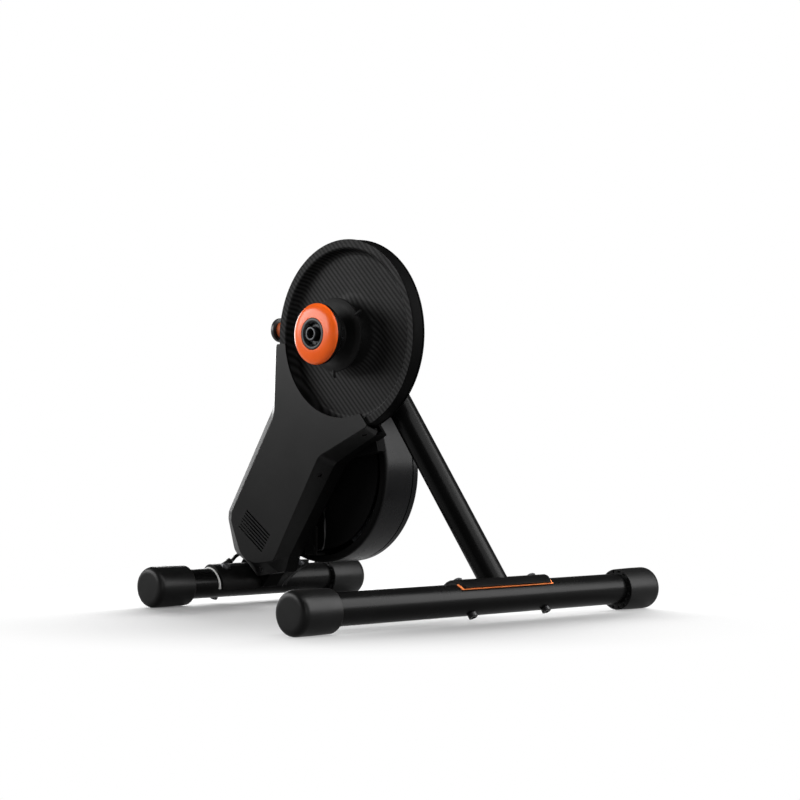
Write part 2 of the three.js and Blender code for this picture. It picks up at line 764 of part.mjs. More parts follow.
// Saddle frame: a plate bent round a leg, its middle line tilted about the leg
const saddleInner = legRadius + seat;
const trimOuter = saddleInner + trimSkin;
const plateInner = trimOuter + touch / 2;
const plateOuter = plateInner + saddleSkin;
const tiltWay = (tilt) => {
  const angle = THREE.MathUtils.degToRad(tilt);
  return new THREE.Vector3(Math.sin(angle), 0, Math.cos(angle));
};
// Footprint corners as shares of the plate's half width and half length
const frontShares = [[-1, -0.86], [-0.35, -0.93], [0.45, -0.93], [0.8, -0.92], [1, -0.9], [1, 0.7], [0.85, 0.79],
  [0.35, 0.85], [-0.35, 0.85], [-1, 0.78]];
const rearShares = [[-1, -0.84], [-0.3, -0.91], [0.5, -0.9], [1, -0.86], [1, 0.26], [0.78, 0.35],
  [0.51, 0.53], [0, 0.88], [-0.35, 1], [-1, 0.88]];
const shell = (outer, inner, { legX, side, tilt, shares }, grow) => {
  const half = saddleHalf + grow;
  const tube = ring(outer, inner, side - half * 1.2, side + half * 1.2, [legX, legHeight], middle);
  const reach = plateOuter * Math.sin(THREE.MathUtils.degToRad(saddleSpread));
  const shape = new THREE.Shape(shares.map(([u, v]) =>
    new THREE.Vector2(u * (reach + grow), v * saddleHalf + Math.sign(v) * grow)));
  const geometry = new THREE.ExtrudeGeometry(shape, { depth: plateOuter * 2, bevelEnabled: false });
  const lift = plateOuter * Math.cos(THREE.MathUtils.degToRad(saddleSpread)) - grow * 0.5;
  geometry.translate(0, 0, lift);
  geometry.rotateY(THREE.MathUtils.degToRad(tilt));
  geometry.translate(legX, side, legHeight);
  return tube.intersect(solid(geometry));
};
const saddle = (name, legX, side, tilt, shares, colour) => ({ name, legX, side, tilt, shares, colour });
const saddles = [
  saddle('front', frontLegX, frontSaddleSide, frontTilt, frontShares, orange),
  saddle('rear', rearLegX, rearSaddleSide, rearTilt, rearShares, pale),
];
const boltAxis = ({ legX, side, tilt }, end) => {
  const way = tiltWay(tilt);
  const centre = new THREE.Vector3(legX, side + end * boltSpacing / 2, legHeight);
  return (distance) => centre.clone().addScaledVector(way, distance).toArray();
};
const boltEnds = [-1, 1];
const boltHoles = (clamp) => boltEnds.map((end) => {
  const at = boltAxis(clamp, end);
  return rod(at(-plateOuter * 2), at(plateOuter * 2), boltRadius + seat);
});

// Frame casting: its front outline follows the cover's rim, then goes round the hub boss.
// Outlines are shares of the axle height.
const crestShares = [[0.0743, 0.674], [0.12, 0.86], [0.1, 1.07], [0.02, 1.12], [-0.06, 1.115], [-0.13, 1.06],
  [-0.14, 0.98], [-0.2, 0.92], [-0.3, 0.86]];
const flankShares = [[0.0463, 0.674], [0.13, 0.86], [0.1, 0.93], [0.02, 0.98], [-0.2, 0.9], [-0.3, 0.62],
  [-0.1, 0.55], [0.0143, 0.566], [0.0726, 0.579]];
const heelShares = [[-0.44, 0.13], [-0.5, 0.06], [-0.57, 0.05], [-0.63, 0.09], [-0.635, 0.13], [-0.605, 0.17],
  [-0.575, 0.185]];
const footShares = [[-0.4, 0.3], [-0.38, 0.16], [-0.44, 0.13], [-0.5, 0.06], [-0.57, 0.05], [-0.64, 0.1],
  [-0.655, 0.17], [-0.62, 0.25], [-0.56, 0.34]];
const castOutline = () => {
  const rim = housingAt(coverBack);
  const perCorner = rim.length / housingShares.length;
  return [...rim.slice(perCorner, -perCorner * 3), ...fromShares(crestShares)];
};
const buildFrame = () => {
  const body = slab(castOutline(), castFront, castBack);
  const pocket = slab(housingAt(coverBack, castWall), castFront - castWall, castBack - castWall)
    .subtract(drum(discRadius * 0.9, castFront - castWall * 2, castBack, hub, middle));
  const hubBoss = addAll(
    drum(bossRadius, hubBack + touch, bossBack, hub, fine),
    cone(bossRadius * 0.9, noseRadius, bossBack - touch, bossNose, hub),
  );
  const wheelBoss = drum(wheelBossRadius, castFront, bossBack, wheel);
  const socketEnd = strutHead(strutTopGap + strutPlug).toArray();
  const socket = rod(strutHead(0).toArray(), socketEnd, socketRadius, middle);
  const flank = slab(fromShares(flankShares), castBack - castWall, castBack + castWall * 2);
  const heel = slab(fromShares(heelShares), castFront + touch, castBack);
  const foot = slab(fromShares(footShares), castBack - castWall / 2, castBack + castWall);
  const handlePeg = alongHandle(handleRoot, gripEnd + slip, handleBarRadius * 1.6, middle);
  const idlerBoss = drum(idlerRadius, castFront, castBack, idler);
  const pillarOut = [boardWidth / 2 - pillarRadius * 2, boardHeight / 2 - pillarRadius * 2];
  const pillars = [-1, 1].flatMap((u) => [-1, 1].map((v) => {
    const at = [boardX + u * pillarOut[0], boardZ + v * pillarOut[1]];
    return drum(pillarRadius, boardBack + touch, castBack - castWall / 2, at, coarse / 2);
  }));
  const saddleRoom = drum(plateOuter + touch, castFront - castDepth * 5, castBack + castDepth * 5,
    [rearLegX, legHeight], middle);
  const strutBore = rod(strutTop.toArray(), strutFoot.toArray(), strutRadius + seat, middle);
  const handleBore = alongHandle(handleRoot, handleTip, handleBarRadius + seat);
  const bearingSeats = [
    drum(wheelBearingOuter + seat, castFront - castWall, wheelBearings[0] + wheelBearingWidth + touch, wheel),
    drum(wheelBearingOuter + seat, wheelBearings[1] - touch, bossBack + castWall, wheel),
  ];
  const whole = addAll(body.subtract(pocket), hubBoss, wheelBoss, idlerBoss, socket, flank, heel, foot,
    handlePeg, ...pillars);
  const powerHole = rod(powerExit, powerEntry, leadRadius + slip * 3);
  return cutAll(whole, saddleRoom, strutBore, handleBore, powerHole, ...bearingSeats,
    drum(idlerPin + seat, castFront - castWall, castFront + idlerPinDepth + touch, idler),
    drum(webHoleRadius, castBack - castWall * 2, castBack + castWall, webHole, coarse),
    drum(axleRadius + seat, castFront - castWall, bossNose + castWall, hub),
    drum(shaftRadius * 1.4, castFront - castWall, bossBack + castWall, wheel),
    drum(hubRadius + flangeWidth * 2, castFront - castWall, hubBack + touch, hub));
};
place('frame', buildFrame(), black, 0.5, 0.2);

// Strut tube, mitred onto the front saddle
const buildStrut = () => {
  const outer = rod(strutTop.toArray(), strutFoot.toArray(), strutRadius, middle);
  const inner = rod(strutHead(-strutPlug).toArray(), strutFoot.toArray(), strutRadius - strutWall, middle);
  const saddleRoom = drum(plateOuter + touch, frontLegLeft, frontLegRight, [frontLegX, legHeight], middle);
  return cutAll(outer, inner, saddleRoom);
};
place('strut', buildStrut(), black, 0.4, 0.4);

// Legs: one cross tube each, drilled for its saddle bolts
const legs = [
  { name: 'front', x: frontLegX, from: frontLegLeft, to: frontLegRight, clamp: saddles[0] },
  { name: 'rear', x: rearLegX, from: rearLegLeft, to: rearLegRight, clamp: saddles[1] },
];
legs.forEach(({ name, x, from, to, clamp }) => {
  const inside = footLength - footDepth + touch;
  const tube = ring(legRadius, legRadius - legWall, from + inside, to - inside, [x, legHeight]);
  place(`${name}_leg`, cutAll(tube, ...boltHoles(clamp)), black, 0.4, 0.4);
});

saddles.forEach((clamp) => {
  const { name, colour } = clamp;
  const plate = shell(plateOuter, plateInner, clamp, 0);
  place(`${name}_saddle`, cutAll(plate, ...boltHoles(clamp)), black, 0.5, 0.2);
  const gasket = shell(trimOuter, saddleInner, clamp, trimLip);
  place(`${name}_trim`, cutAll(gasket, ...boltHoles(clamp)), colour, 0.5, 0);
  boltEnds.forEach((end, i) => {
    const at = boltAxis(clamp, end);
    const shank = rod(at(-legRadius - touch - boltHeadHeight / 2), at(plateOuter + nutHeight), boltRadius);
    const head = rod(at(-legRadius - touch - boltHeadHeight), at(-legRadius - touch), boltHead);
    const socket = rod(at(-legRadius * 2), at(-legRadius - touch - boltHeadHeight / 2), boltHead / 2, 6);
    place(`${name}_bolt_${i + 1}`, shank.add(head).subtract(socket), darkSteel, 0.35, 0.8);
    const nut = rod(at(plateOuter + touch), at(plateOuter + touch + nutHeight), nutAcross, 6)
      .subtract(rod(at(plateOuter - nutHeight), at(plateOuter + nutHeight * 3), boltRadius + seat));
    place(`${name}_nut_${i + 1}`, nut, darkSteel, 0.35, 0.8);
  });
});

// Foot caps: eccentric ends that turn on the legs to level the trainer
const buildFoot = (x, from, to) => {
  const centre = legHeight - footThrow;
  const outward = Math.sign(to - from);
  // A drum from the first y to the second, whichever is larger
  const cutter = (radius, y0, y1, at, facets) => drum(radius, Math.min(y0, y1), Math.max(y0, y1), at, facets);
  const edge = Array.from({ length: edgeSteps + 1 }, (_, i) => {
    const angle = i * Math.PI / 2 / edgeSteps;
    const drawn = footEdge * (1 - Math.cos(angle));
    return [footRadius - footEdge + footEdge * Math.sin(angle), to - outward * drawn];
  });
  const lip = notchDepth / 2;
  const profile = [[0, from], [footRadius - lip, from], [footRadius, from + outward * lip], ...edge.reverse(),
    [0, to]];
  const body = turned(outward > 0 ? profile : profile.reverse(), [x, centre], middle);
  const open = from - outward * notchDepth;
  const bore = cutter(legRadius + slip, open, from + outward * footDepth, [x, legHeight], middle);
  const notches = Array.from({ length: notchCount }, (_, i) => {
    const angle = (i + 0.5) * 2 * Math.PI / notchCount;
    const at = [x + notchRing * Math.cos(angle), centre + notchRing * Math.sin(angle)];
    return cutter(notchWidth / 2, open, from + outward * notchDepth, at, coarse / 3);
  });
  return cutAll(body, bore, ...notches);
};
legs.forEach(({ name, x, from, to }) => {
  const left = buildFoot(x, from + footLength, from);
  const right = buildFoot(x, to - footLength, to);
  place(`${name}_foot_left`, left, softBlack, 0.8, 0, [x, from, legHeight]);
  place(`${name}_foot_right`, right, softBlack, 0.8, 0, [x, to, legHeight]);
});

// Carry handle: steel bar in the frame, rubber grip, orange ring and end cap
const capInner = handleTip + handleCapWidth;
const ringInner = capInner + handleRingWidth;
const hollowHandle = (from, to, radius) => cutAll(alongHandle(from, to, radius, middle),
  alongHandle(from - radius, to + radius, handleBarRadius + seat));
const handleBar = alongHandle(handleTip + handleCapWidth / 2, handleRoot - touch, handleBarRadius);
place('handle_bar', handleBar, steel, 0.4, 0.8);
place('handle_grip', hollowHandle(ringInner + touch, gripEnd, handleGripRadius), softBlack, 0.8, 0);
place('handle_ring', hollowHandle(capInner + touch, ringInner, handleRingRadius), orange, 0.4, 0);
const buildHandleCap = () => {
  const bevel = handleCapWidth * 0.25;
  const face = handleTip + bevel;
  return addAll(alongHandle(face, capInner, handleCapRadius, middle),
    alongHandle(handleTip, capInner, handleCapRadius - bevel, middle))
    .subtract(alongHandle(handleTip + handleCapWidth / 2 - touch, capInner + slip, handleBarRadius + seat));
};
place('handle_cap', buildHandleCap(), softBlack, 0.4, 0.2);

// Brake: carrier plate, laminated core with wound poles
const plateBack = plateFront + plateSkin;
const buildCarrier = () => {
  const plate = drum(plateRadius, plateFront, plateBack, wheel, fine);
  const sleeve = drum(coreInner - seat, bossBack + touch, naveFront - touch * 3, wheel);
  const bore = drum(shaftRadius * 1.4, bossBack - touch, plateBack + poleDepth * 2, wheel);
  const leadHole = drum(webHoleRadius, plateFront - plateSkin, plateBack + plateSkin, plateHole, coarse);
  return cutAll(plate.add(sleeve), bore, leadHole);
};
place('brake_carrier', buildCarrier(), softBlack, 0.7, 0.2, wheelPoint);

const coreFrom = plateBack + touch + coilWall;
const coreTo = coreFrom + poleDepth;
const poleTip = flywheelRadius - flywheelWall - airGap;
const poleAngle = (i) => (i + 0.5) * 2 * Math.PI / poleCount;
const poles = Array.from({ length: poleCount }, (_, i) => i);
// A block standing out along a pole's direction
const poleBlock = (i, inner, outer, width, from, to) => {
  const geometry = new THREE.BoxGeometry(outer - inner, to - from, width);
  geometry.translate((inner + outer) / 2, (from + to) / 2, 0);
  geometry.rotateY(-poleAngle(i));
  geometry.translate(flywheelX, 0, flywheelHeight);
  return solid(geometry);
};
const buildCore = () => {
  const middleRing = ring(coreOuter, coreInner, coreFrom, coreTo, wheel);
  const swept = drum(poleTip, coreFrom, coreTo, wheel, fine);
  const arms = poles.flatMap((i) => [
    poleBlock(i, coreOuter * 0.95, coilOuter + coilWall, poleWidth, coreFrom, coreTo),
    poleBlock(i, coilOuter + slip, poleTip * 1.2, poleWidth * 2.6, coreFrom, coreTo).intersect(swept),
  ]);
  return addAll(middleRing, ...arms);
};
place('brake_core', buildCore(), darkSteel, 0.5, 0.7, wheelPoint);
poles.forEach((i) => {
  const around = (room, inner, outer) =>
    poleBlock(i, inner, outer, poleWidth + room * 2, coreFrom - room, coreTo + room);
  const winding = around(coilWall, coilInner, coilOuter)
    .subtract(around(slip, coilInner - coilWall, coilOuter + coilWall));
  place(`brake_coil_${i + 1}`, winding, copper, 0.4, 0.5);
});

// Idler: a pin in the frame's boss and a roller that turns on it
const rollerStop = beltFrom - touch;
const shoulderFrom = beltTo + touch;
const idlerAt = [idlerX, 0, idlerHeight];
const roller = ring(idlerRadius, idlerPin + seat, beltFrom, beltTo, idler);
place('idler_roller', roller, darkSteel, 0.4, 0.6, idlerAt);
const buildIdlerPin = () => addAll(
  drum(idlerPin, rollerStop - flangeWidth, castFront + idlerPinDepth, idler, coarse),
  drum(idlerPin * 1.7, rollerStop - flangeWidth, rollerStop, idler, coarse),
  drum(idlerPin * 1.7, shoulderFrom, castFront - touch, idler, coarse),
);
place('idler_pin', buildIdlerPin(), steel, 0.4, 0.8, idlerAt);

// Control board on four pillars of the frame; its plug block at shares of its width and height
const plugShares = [[0.55, 0.06], [0.92, 0.24]];
const buildBoard = () => {
  const left = boardX - boardWidth / 2;
  const low = boardZ - boardHeight / 2;
  const block = ([u0, v0], [u1, v1], rise) => box(
    [left + boardWidth * u0, boardFront - rise, low + boardHeight * v0],
    [left + boardWidth * u1, boardFront + boardSkin / 2, low + boardHeight * v1],
  );
  const board = block([0, 0], [1, 1], 0).add(box([left, boardFront, low],
    [left + boardWidth, boardBack, low + boardHeight]));
  const radio = block([0.1, 0.55], [0.4, 0.9], boardSkin * 1.5);
  const plugs = block(...plugShares, boardStand);
  const chip = block([0.55, 0.5], [0.75, 0.75], boardSkin);
  const buffer = drum(boardHeight * 0.11, boardFront - boardStand, boardFront + boardSkin / 2,
    [left + boardWidth * 0.22, low + boardHeight * 0.25], coarse);
  return addAll(board, radio, plugs, chip, buffer);
};
place('control_board', buildBoard(), 0x1f5b3a, 0.6, 0.1, [boardX, boardBack, boardZ]);

// Sensor bracket: a plate on the frame's back and a tongue up to the flywheel's front edge
const buildSensorBracket = () => {
  const from = castBack + touch;
  const left = bracketX - bracketWidth / 2;
  const right = bracketX + bracketWidth / 2;
  const foot = box([left, from, bracketZ], [right, from + bracketSkin, bracketZ + bracketHeight]);
  const tongue = box([bracketX, from, bracketZ], [right, flywheelFront - touch * 5, bracketZ + bracketSkin]);
  const screw = drum(screwRadius * 1.3, from - bracketSkin / 2, from + bracketSkin / 2,
    [right - screwRadius * 2, bracketZ + bracketHeight / 4], coarse);
  return addAll(foot, tongue, screw);
};
place('sensor_bracket', buildSensorBracket(), softBlack, 0.6, 0);

// Coil lead: from the board through the frame's web and up to the brake
const plugSide = boardFront - boardStand / 2;
const leadPath = [
  [boardX + boardWidth * (plugShares[1][0] - 0.5) + slip, plugSide, boardZ - boardHeight / 3],
  [boardX + boardWidth / 2 + wireRadius, plugSide, boardZ - boardHeight / 3],
  [webHole[0], castBack - castWall * 1.6, webHole[1]],
  [webHole[0], castBack - castWall / 2, webHole[1]],
  [webHole[0] + webHoleRadius, castBack + castWall, webHole[1] - webHoleRadius],
  [webHole[0] + webHoleRadius * 6, castBack + castWall * 1.4, webHole[1] - webHoleRadius * 4],
  [webHole[0] + webHoleRadius * 11, castBack + castWall * 2, webHole[1] - webHoleRadius * 3],
  [plateHole[0] + webHoleRadius * 3, castBack + castWall * 2.4, (webHole[1] + plateHole[1]) / 2],
  [plateHole[0] + webHoleRadius, plateFront - castWall, plateHole[1] - webHoleRadius * 2],
  [plateHole[0], plateFront + plateSkin / 2, plateHole[1]],
  [plateHole[0], plateBack + castWall, plateHole[1]],
];
place('coil_lead', sweep(leadPath, wireRadius, edgeSteps, coarse * 2), softBlack, 0.6, 0);

// Power lead and its inline socket, lying on the rear saddle
const powerPath = [
  powerExit.map((value, k) => value + (powerEntry[k] - value) * 0.7),
  powerExit,
  [powerExit[0] - castWall * 1.4, powerExit[1] - castWall, powerExit[2] - castWall * 0.8],
  [powerExit[0] - castWall * 1.5, powerExit[1] - castWall * 3, powerExit[2] - castWall * 1.7],
  jackStart,
];
const jackAxis = new THREE.Vector3(...jackEnd).sub(new THREE.Vector3(...jackStart)).normalize();
const alongJack = (distance) => new THREE.Vector3(...jackStart).addScaledVector(jackAxis, distance).toArray();
const leadCurve = [...powerPath, alongJack(jackLength * 0.2)];
place('power_lead', sweep(leadCurve, leadRadius, edgeSteps, coarse * 1.5), softBlack, 0.6, 0);
const buildJack = () => {
  const barrel = rod(alongJack(jackLength * 0.25), alongJack(jackLength), jackRadius);
  const collar = rod(alongJack(jackLength * 0.1), alongJack(jackLength * 0.35), jackRadius * 1.2);
  const bore = rod(alongJack(jackLength * 0.7), alongJack(jackLength * 1.2), jackRadius * 0.65);
  const strain = rod(alongJack(-jackLength * 0.1), alongJack(jackLength * 0.22), leadRadius + touch);
  return cutAll(addAll(barrel, collar), bore, strain);
};
place('power_jack', buildJack(), softBlack, 0.5, 0.1);

// The origin sits under the middle of the whole object, on the floor
const bounds = new THREE.Box3().setFromObject(trainer);
const middlePoint = bounds.getCenter(new THREE.Vector3());
trainer.position.set(-middlePoint.x, -middlePoint.y, -bounds.min.z);
const model = new THREE.Group();
model.name = 'bike_trainer';
model.add(trainer);

export default model;
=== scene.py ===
# Direct drive bike trainer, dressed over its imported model. Metres, Z up, in the model's own frame.
from math import acos, atan2, ceil, cos, hypot, pi, radians, sin, tan
import bmesh
import bpy
from mathutils import Matrix, Vector


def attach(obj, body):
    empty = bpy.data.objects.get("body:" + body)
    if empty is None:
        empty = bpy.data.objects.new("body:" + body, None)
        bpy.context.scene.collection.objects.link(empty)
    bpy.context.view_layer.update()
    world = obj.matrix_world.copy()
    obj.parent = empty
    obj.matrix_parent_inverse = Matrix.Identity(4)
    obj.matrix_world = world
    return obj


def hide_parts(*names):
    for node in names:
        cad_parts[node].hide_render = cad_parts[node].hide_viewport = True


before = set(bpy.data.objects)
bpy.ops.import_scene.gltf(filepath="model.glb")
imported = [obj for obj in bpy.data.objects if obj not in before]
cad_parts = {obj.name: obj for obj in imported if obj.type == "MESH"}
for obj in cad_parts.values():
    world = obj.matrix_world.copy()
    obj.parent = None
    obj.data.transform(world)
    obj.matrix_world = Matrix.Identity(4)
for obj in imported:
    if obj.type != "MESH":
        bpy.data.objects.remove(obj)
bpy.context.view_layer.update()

scene = bpy.context.scene


# Camera
# A long lens at knee height, off the front corner of the drive side, as in the photograph.
# Its place was solved from the outlines of the disc, the two legs and the four foot caps.
eye = Vector((2.15385, -2.1132, 0.238))
lens_in_pixels, picture_width, film_width, far_clip = 2379.8, 800, 36, 200
heading, tip, roll = 0.77597, -0.009846, 0.003342
ahead = Vector((-sin(heading) * cos(tip), cos(heading) * cos(tip), -sin(tip)))
level = ahead.cross(Vector((0, 0, 1))).normalized()
upward = level.cross(ahead)
right = level * cos(roll) + upward * sin(roll)
up = upward * cos(roll) - level * sin(roll)
camera_data = bpy.data.cameras.new("camera")
camera_data.sensor_width = film_width
camera_data.lens = lens_in_pixels * film_width / picture_width
camera_data.clip_end = far_clip
camera = bpy.data.objects.new("camera", camera_data)
scene.collection.objects.link(camera)
camera.matrix_world = Matrix.Translation(eye) @ Matrix((right, up, -ahead)).transposed().to_4x4()
scene.camera = camera


# Studio
# A white floor that keeps the soft shadow, a white surround that darkens overhead, and five
# softboxes: behind to the right, overhead, low at the left, in front to the left, and a weak one
# by the camera. The paper has a long low lamp of its own, which throws the shadow forwards.
def hex_colour(text):
    """An sRGB hex value as the linear colour that a shader takes"""
    parts = [int(text[i:i + 2], 16) / 255 for i in (1, 3, 5)]
    return tuple(c / 12.92 if c <= 0.04045 else ((c + 0.055) / 1.055) ** 2.4 for c in parts) + (1.0,)


def feed(node, inputs):
    """Sets a node's inputs: each is a value, the socket that feeds it, or a node whose first output does"""
    for name, value in inputs.items():
        if isinstance(value, bpy.types.Node):
            value = value.outputs[0]
        if isinstance(value, bpy.types.NodeSocket):
            node.id_data.links.new(value, node.inputs[name])
        else:
            node.inputs[name].default_value = value


def add(tree, kind, inputs=None, **settings):
    """Adds a node with its settings and inputs"""
    made = tree.nodes.new(kind)
    for name, value in settings.items():
        setattr(made, name, value)
    feed(made, inputs or {})
    return made


def maths(operation, first, *others):
    """One step of arithmetic, in the tree that its first value belongs to"""
    return add(first.id_data, "ShaderNodeMath", dict(enumerate((first, *others))), operation=operation)


def ramp(value, start, end, low=0.0, high=1.0, smooth=False):
    """Goes from low to high as a value goes from start to end"""
    return add(value.id_data, "ShaderNodeMapRange",
               {"Value": value, "From Min": start, "From Max": end, "To Min": low, "To Max": high},
               interpolation_type="SMOOTHSTEP" if smooth else "LINEAR")


def blend(share, low, high):
    """A colour between two, each a hex value, a linear colour or a socket"""
    mix = add(share.id_data, "ShaderNodeMix", {"Factor": share}, data_type="RGBA")
    feed(mix, {k: hex_colour(c) if isinstance(c, str) else c for k, c in ((6, low), (7, high))})
    return mix.outputs[2]


def new_piece(name, verts, edges=(), faces=()):
    """An object with a mesh of its own"""
    mesh = bpy.data.meshes.new(name)
    mesh.from_pydata([tuple(v) for v in verts], edges, faces)
    piece = bpy.data.objects.new(name, mesh)
    scene.collection.objects.link(piece)
    return piece


scene.view_settings.view_transform = "Standard"
floor_half = 40.0
floor_corners = [(x * floor_half, y * floor_half, 0) for x, y in ((-1, -1), (1, -1), (1, 1), (-1, 1))]
floor = new_piece("floor", floor_corners, faces=[(0, 1, 2, 3)])

# Matt white paper: it takes the shadow near the object and runs into plain white further out
white, paper_white, mirrored_white = (1, 1, 1, 1), (0.7, 0.7, 0.7, 1), (0.42, 0.42, 0.42, 1)
paper_glow, mirrored_share, fade_from, fade_to = 0.1, 0.6, 0.2, 0.6
paper = bpy.data.materials.new("white_paper")
paper.use_nodes = True
tree = paper.node_tree
tree.nodes.clear()
ray = add(tree, "ShaderNodeLightPath").outputs
seen = maths("MAXIMUM", ray["Is Camera Ray"], maths("MULTIPLY", ray["Is Glossy Ray"], mirrored_share))
seen = maths("MAXIMUM", seen, ray["Is Transmission Ray"])
# Polished parts see a duller paper than the camera does, as over a black table skirt
diffuse = add(tree, "ShaderNodeBsdfDiffuse",
              {"Color": blend(ray["Is Glossy Ray"], paper_white, mirrored_white)})
glow = add(tree, "ShaderNodeEmission", {"Color": white, "Strength": maths("MULTIPLY", seen, paper_glow)})
near = add(tree, "ShaderNodeAddShader", {0: diffuse, 1: glow})
far = add(tree, "ShaderNodeEmission", {"Color": white, "Strength": seen})
place = add(tree, "ShaderNodeTexCoord").outputs["Object"]
reach = add(tree, "ShaderNodeVectorMath", {0: place}, operation="LENGTH").outputs["Value"]
both = add(tree, "ShaderNodeMixShader", {0: ramp(reach, fade_from, fade_to, smooth=True), 1: near, 2: far})
add(tree, "ShaderNodeOutputMaterial", {"Surface": both})
floor.data.materials.append(paper)

# The surround: white low down and dark overhead in reflections, white to the camera, dim as a light
dark_above, horizon_from, horizon_to, room_fill = 0.06, 0.03, 0.2, 0.12
world = bpy.data.worlds.new("studio")
scene.world = world
world.use_nodes = True
tree = world.node_tree
tree.nodes.clear()
ray = add(tree, "ShaderNodeLightPath").outputs
seen = maths("MAXIMUM", ray["Is Camera Ray"], ray["Is Glossy Ray"])
seen = maths("MAXIMUM", seen, ray["Is Transmission Ray"])
split = add(tree, "ShaderNodeSeparateXYZ", {0: add(tree, "ShaderNodeTexCoord").outputs["Generated"]}).outputs
height = ramp(split["Z"], horizon_from, horizon_to, 1.0, dark_above, smooth=True)
shown = add(tree, "ShaderNodeBackground",
            {"Color": white, "Strength": maths("MAXIMUM", height, ray["Is Camera Ray"])})
fill = add(tree, "ShaderNodeBackground", {"Color": white, "Strength": room_fill})
both = add(tree, "ShaderNodeMixShader", {0: seen, 1: fill, 2: shown})
add(tree, "ShaderNodeOutputWorld", {"Surface": both})


def softbox(name, azimuth, elevation, distance, width, height, power):
    """A lamp panel round the object, facing its middle; azimuth is counted from +X towards +Y"""
    data = bpy.data.lights.new(name, "AREA")
    data.shape, data.size, data.size_y, data.energy = "RECTANGLE", width, height, power
    lamp = bpy.data.objects.new(name, data)
    scene.collection.objects.link(lamp)
    a, e = radians(azimuth), radians(elevation)
    way = Vector((cos(a) * cos(e), sin(a) * cos(e), sin(e)))
    lamp.rotation_euler = way.to_track_quat("Z", "Y").to_euler()
    lamp.location = Vector((0, 0, 0.2)) + way * distance
    return lamp


def keep_off(name, lamps, *pieces):
    """Flags lamps off some pieces"""
    group = bpy.data.collections.new(name)
    for k, piece in enumerate(pieces):
        group.objects.link(piece)
        group.collection_objects[k].light_linking.link_state = "EXCLUDE"
    for lamp in lamps:
        lamp.light_linking.receiver_collection = group


right_lamp = softbox("softbox_right", 38, 29, 2.4, 1.8, 2.2, 97)
softbox("softbox_overhead", -8, 57, 2.4, 2.1, 0.7, 20)
left_lamp = softbox("softbox_left", 160, 10, 2.4, 1.5, 0.8, 22)
fill_lamp = softbox("softbox_fill", 335, 12, 2.6, 1.4, 1.0, 13)
front_lamp = softbox("softbox_front", 226, 18, 2.5, 2.2, 1.0, 71)
# All but the overhead one are kept off the paper, so that they don't wash out or double its shadow,
# the front one further down, where it is kept off the strut too
keep_off("flagged_off_the_paper", [right_lamp, left_lamp, fill_lamp], floor)
# The backdrop's lamp lights the paper alone
paper_alone = bpy.data.collections.new("lit_by_the_backdrop")
paper_alone.objects.link(floor)
softbox("softbox_backdrop", 135, 11, 2.4, 3.4, 0.8, 320).light_linking.receiver_collection = paper_alone


# Frame casting
# The main body: a ribbed die casting with the hub boss, the flywheel boss and the strut's
# socket, machined at its bearing seats and powder coated satin black.
shift = Vector((-14.149, -5.0, 0.0))
axle_height = 350.0


def spot(x, y, z):
    """A place given in millimetres from the disc's front face and the axle's line, as a point of the frame"""
    return (Vector((x, y, z)) + shift) / 1000


def shade(piece, sharp=38.0):
    """Smooth shading that keeps edges above an angle, with flat faces kept flat"""
    mesh = piece.data
    mesh.polygons.foreach_set("use_smooth", [True] * len(mesh.polygons))
    mesh.set_sharp_from_angle(angle=radians(sharp))
    even = piece.modifiers.new("even_normals", "WEIGHTED_NORMAL")
    even.keep_sharp = True
    return piece


def settle(piece, used_up=()):
    """Keeps what a piece's modifiers make as its plain mesh; the objects used up in it go"""
    solid = bpy.data.meshes.new_from_object(piece.evaluated_get(bpy.context.evaluated_depsgraph_get()))
    piece.modifiers.clear()
    piece.data = solid
    for other in used_up:
        bpy.data.objects.remove(other)
    return piece


def cleaned(name, material, slot, nodes, edge=0.0, sharp=38.0):
    """A dressed piece from copies of CAD solids: corners joined, flat faces joined, edges broken in mm"""
    made = bmesh.new()
    for node in nodes:
        made.from_mesh(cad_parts[node].data)
    bmesh.ops.remove_doubles(made, verts=made.verts, dist=0.00001)
    bmesh.ops.dissolve_limit(made, angle_limit=radians(0.4), verts=made.verts, edges=made.edges)
    piece = new_piece(name, [])
    made.to_mesh(piece.data)
    made.free()
    if edge:
        broken = piece.modifiers.new("broken_edges", "BEVEL")
        broken.width, broken.segments, broken.limit_method = edge / 1000, 2, "ANGLE"
        broken.angle_limit, broken.miter_outer = radians(sharp), "MITER_ARC"
        settle(piece)
    dress(shade(piece, sharp), material, slot, *nodes)


def plain_finish(name, metal=0.0, gloss=0.5):
    """A material whose even values, metal and gloss, sit on the shader's own sockets"""
    material = bpy.data.materials.new(name)
    material.use_nodes = True
    feed(material.node_tree.nodes["Principled BSDF"], {"Metallic": metal, "Specular IOR Level": gloss})
    return material


def finish(name, tones, grain, depth, patch, rough, metal=0.0, gloss=0.5):
    """A material with a fine grain, whose tone and roughness drift between two values; sizes in mm"""
    material = plain_finish(name, metal, gloss)
    tree, shader = material.node_tree, material.node_tree.nodes["Principled BSDF"]
    place = add(tree, "ShaderNodeTexCoord").outputs["Object"]
    fine = add(tree, "ShaderNodeTexNoise", {"Vector": place, "Scale": 1000 / grain, "Detail": 2.0})
    slow = add(tree, "ShaderNodeTexNoise", {"Vector": place, "Scale": 1000 / patch, "Detail": 3.0})
    bump = add(tree, "ShaderNodeBump", {"Height": fine, "Strength": 0.6, "Distance": depth / 1000})
    feed(shader, {"Roughness": ramp(slow, 0.3, 0.7, *rough), "Normal": bump})
    if tones:
        feed(shader, {"Base Color": blend(ramp(slow, 0.3, 0.7), *tones)})
    return material


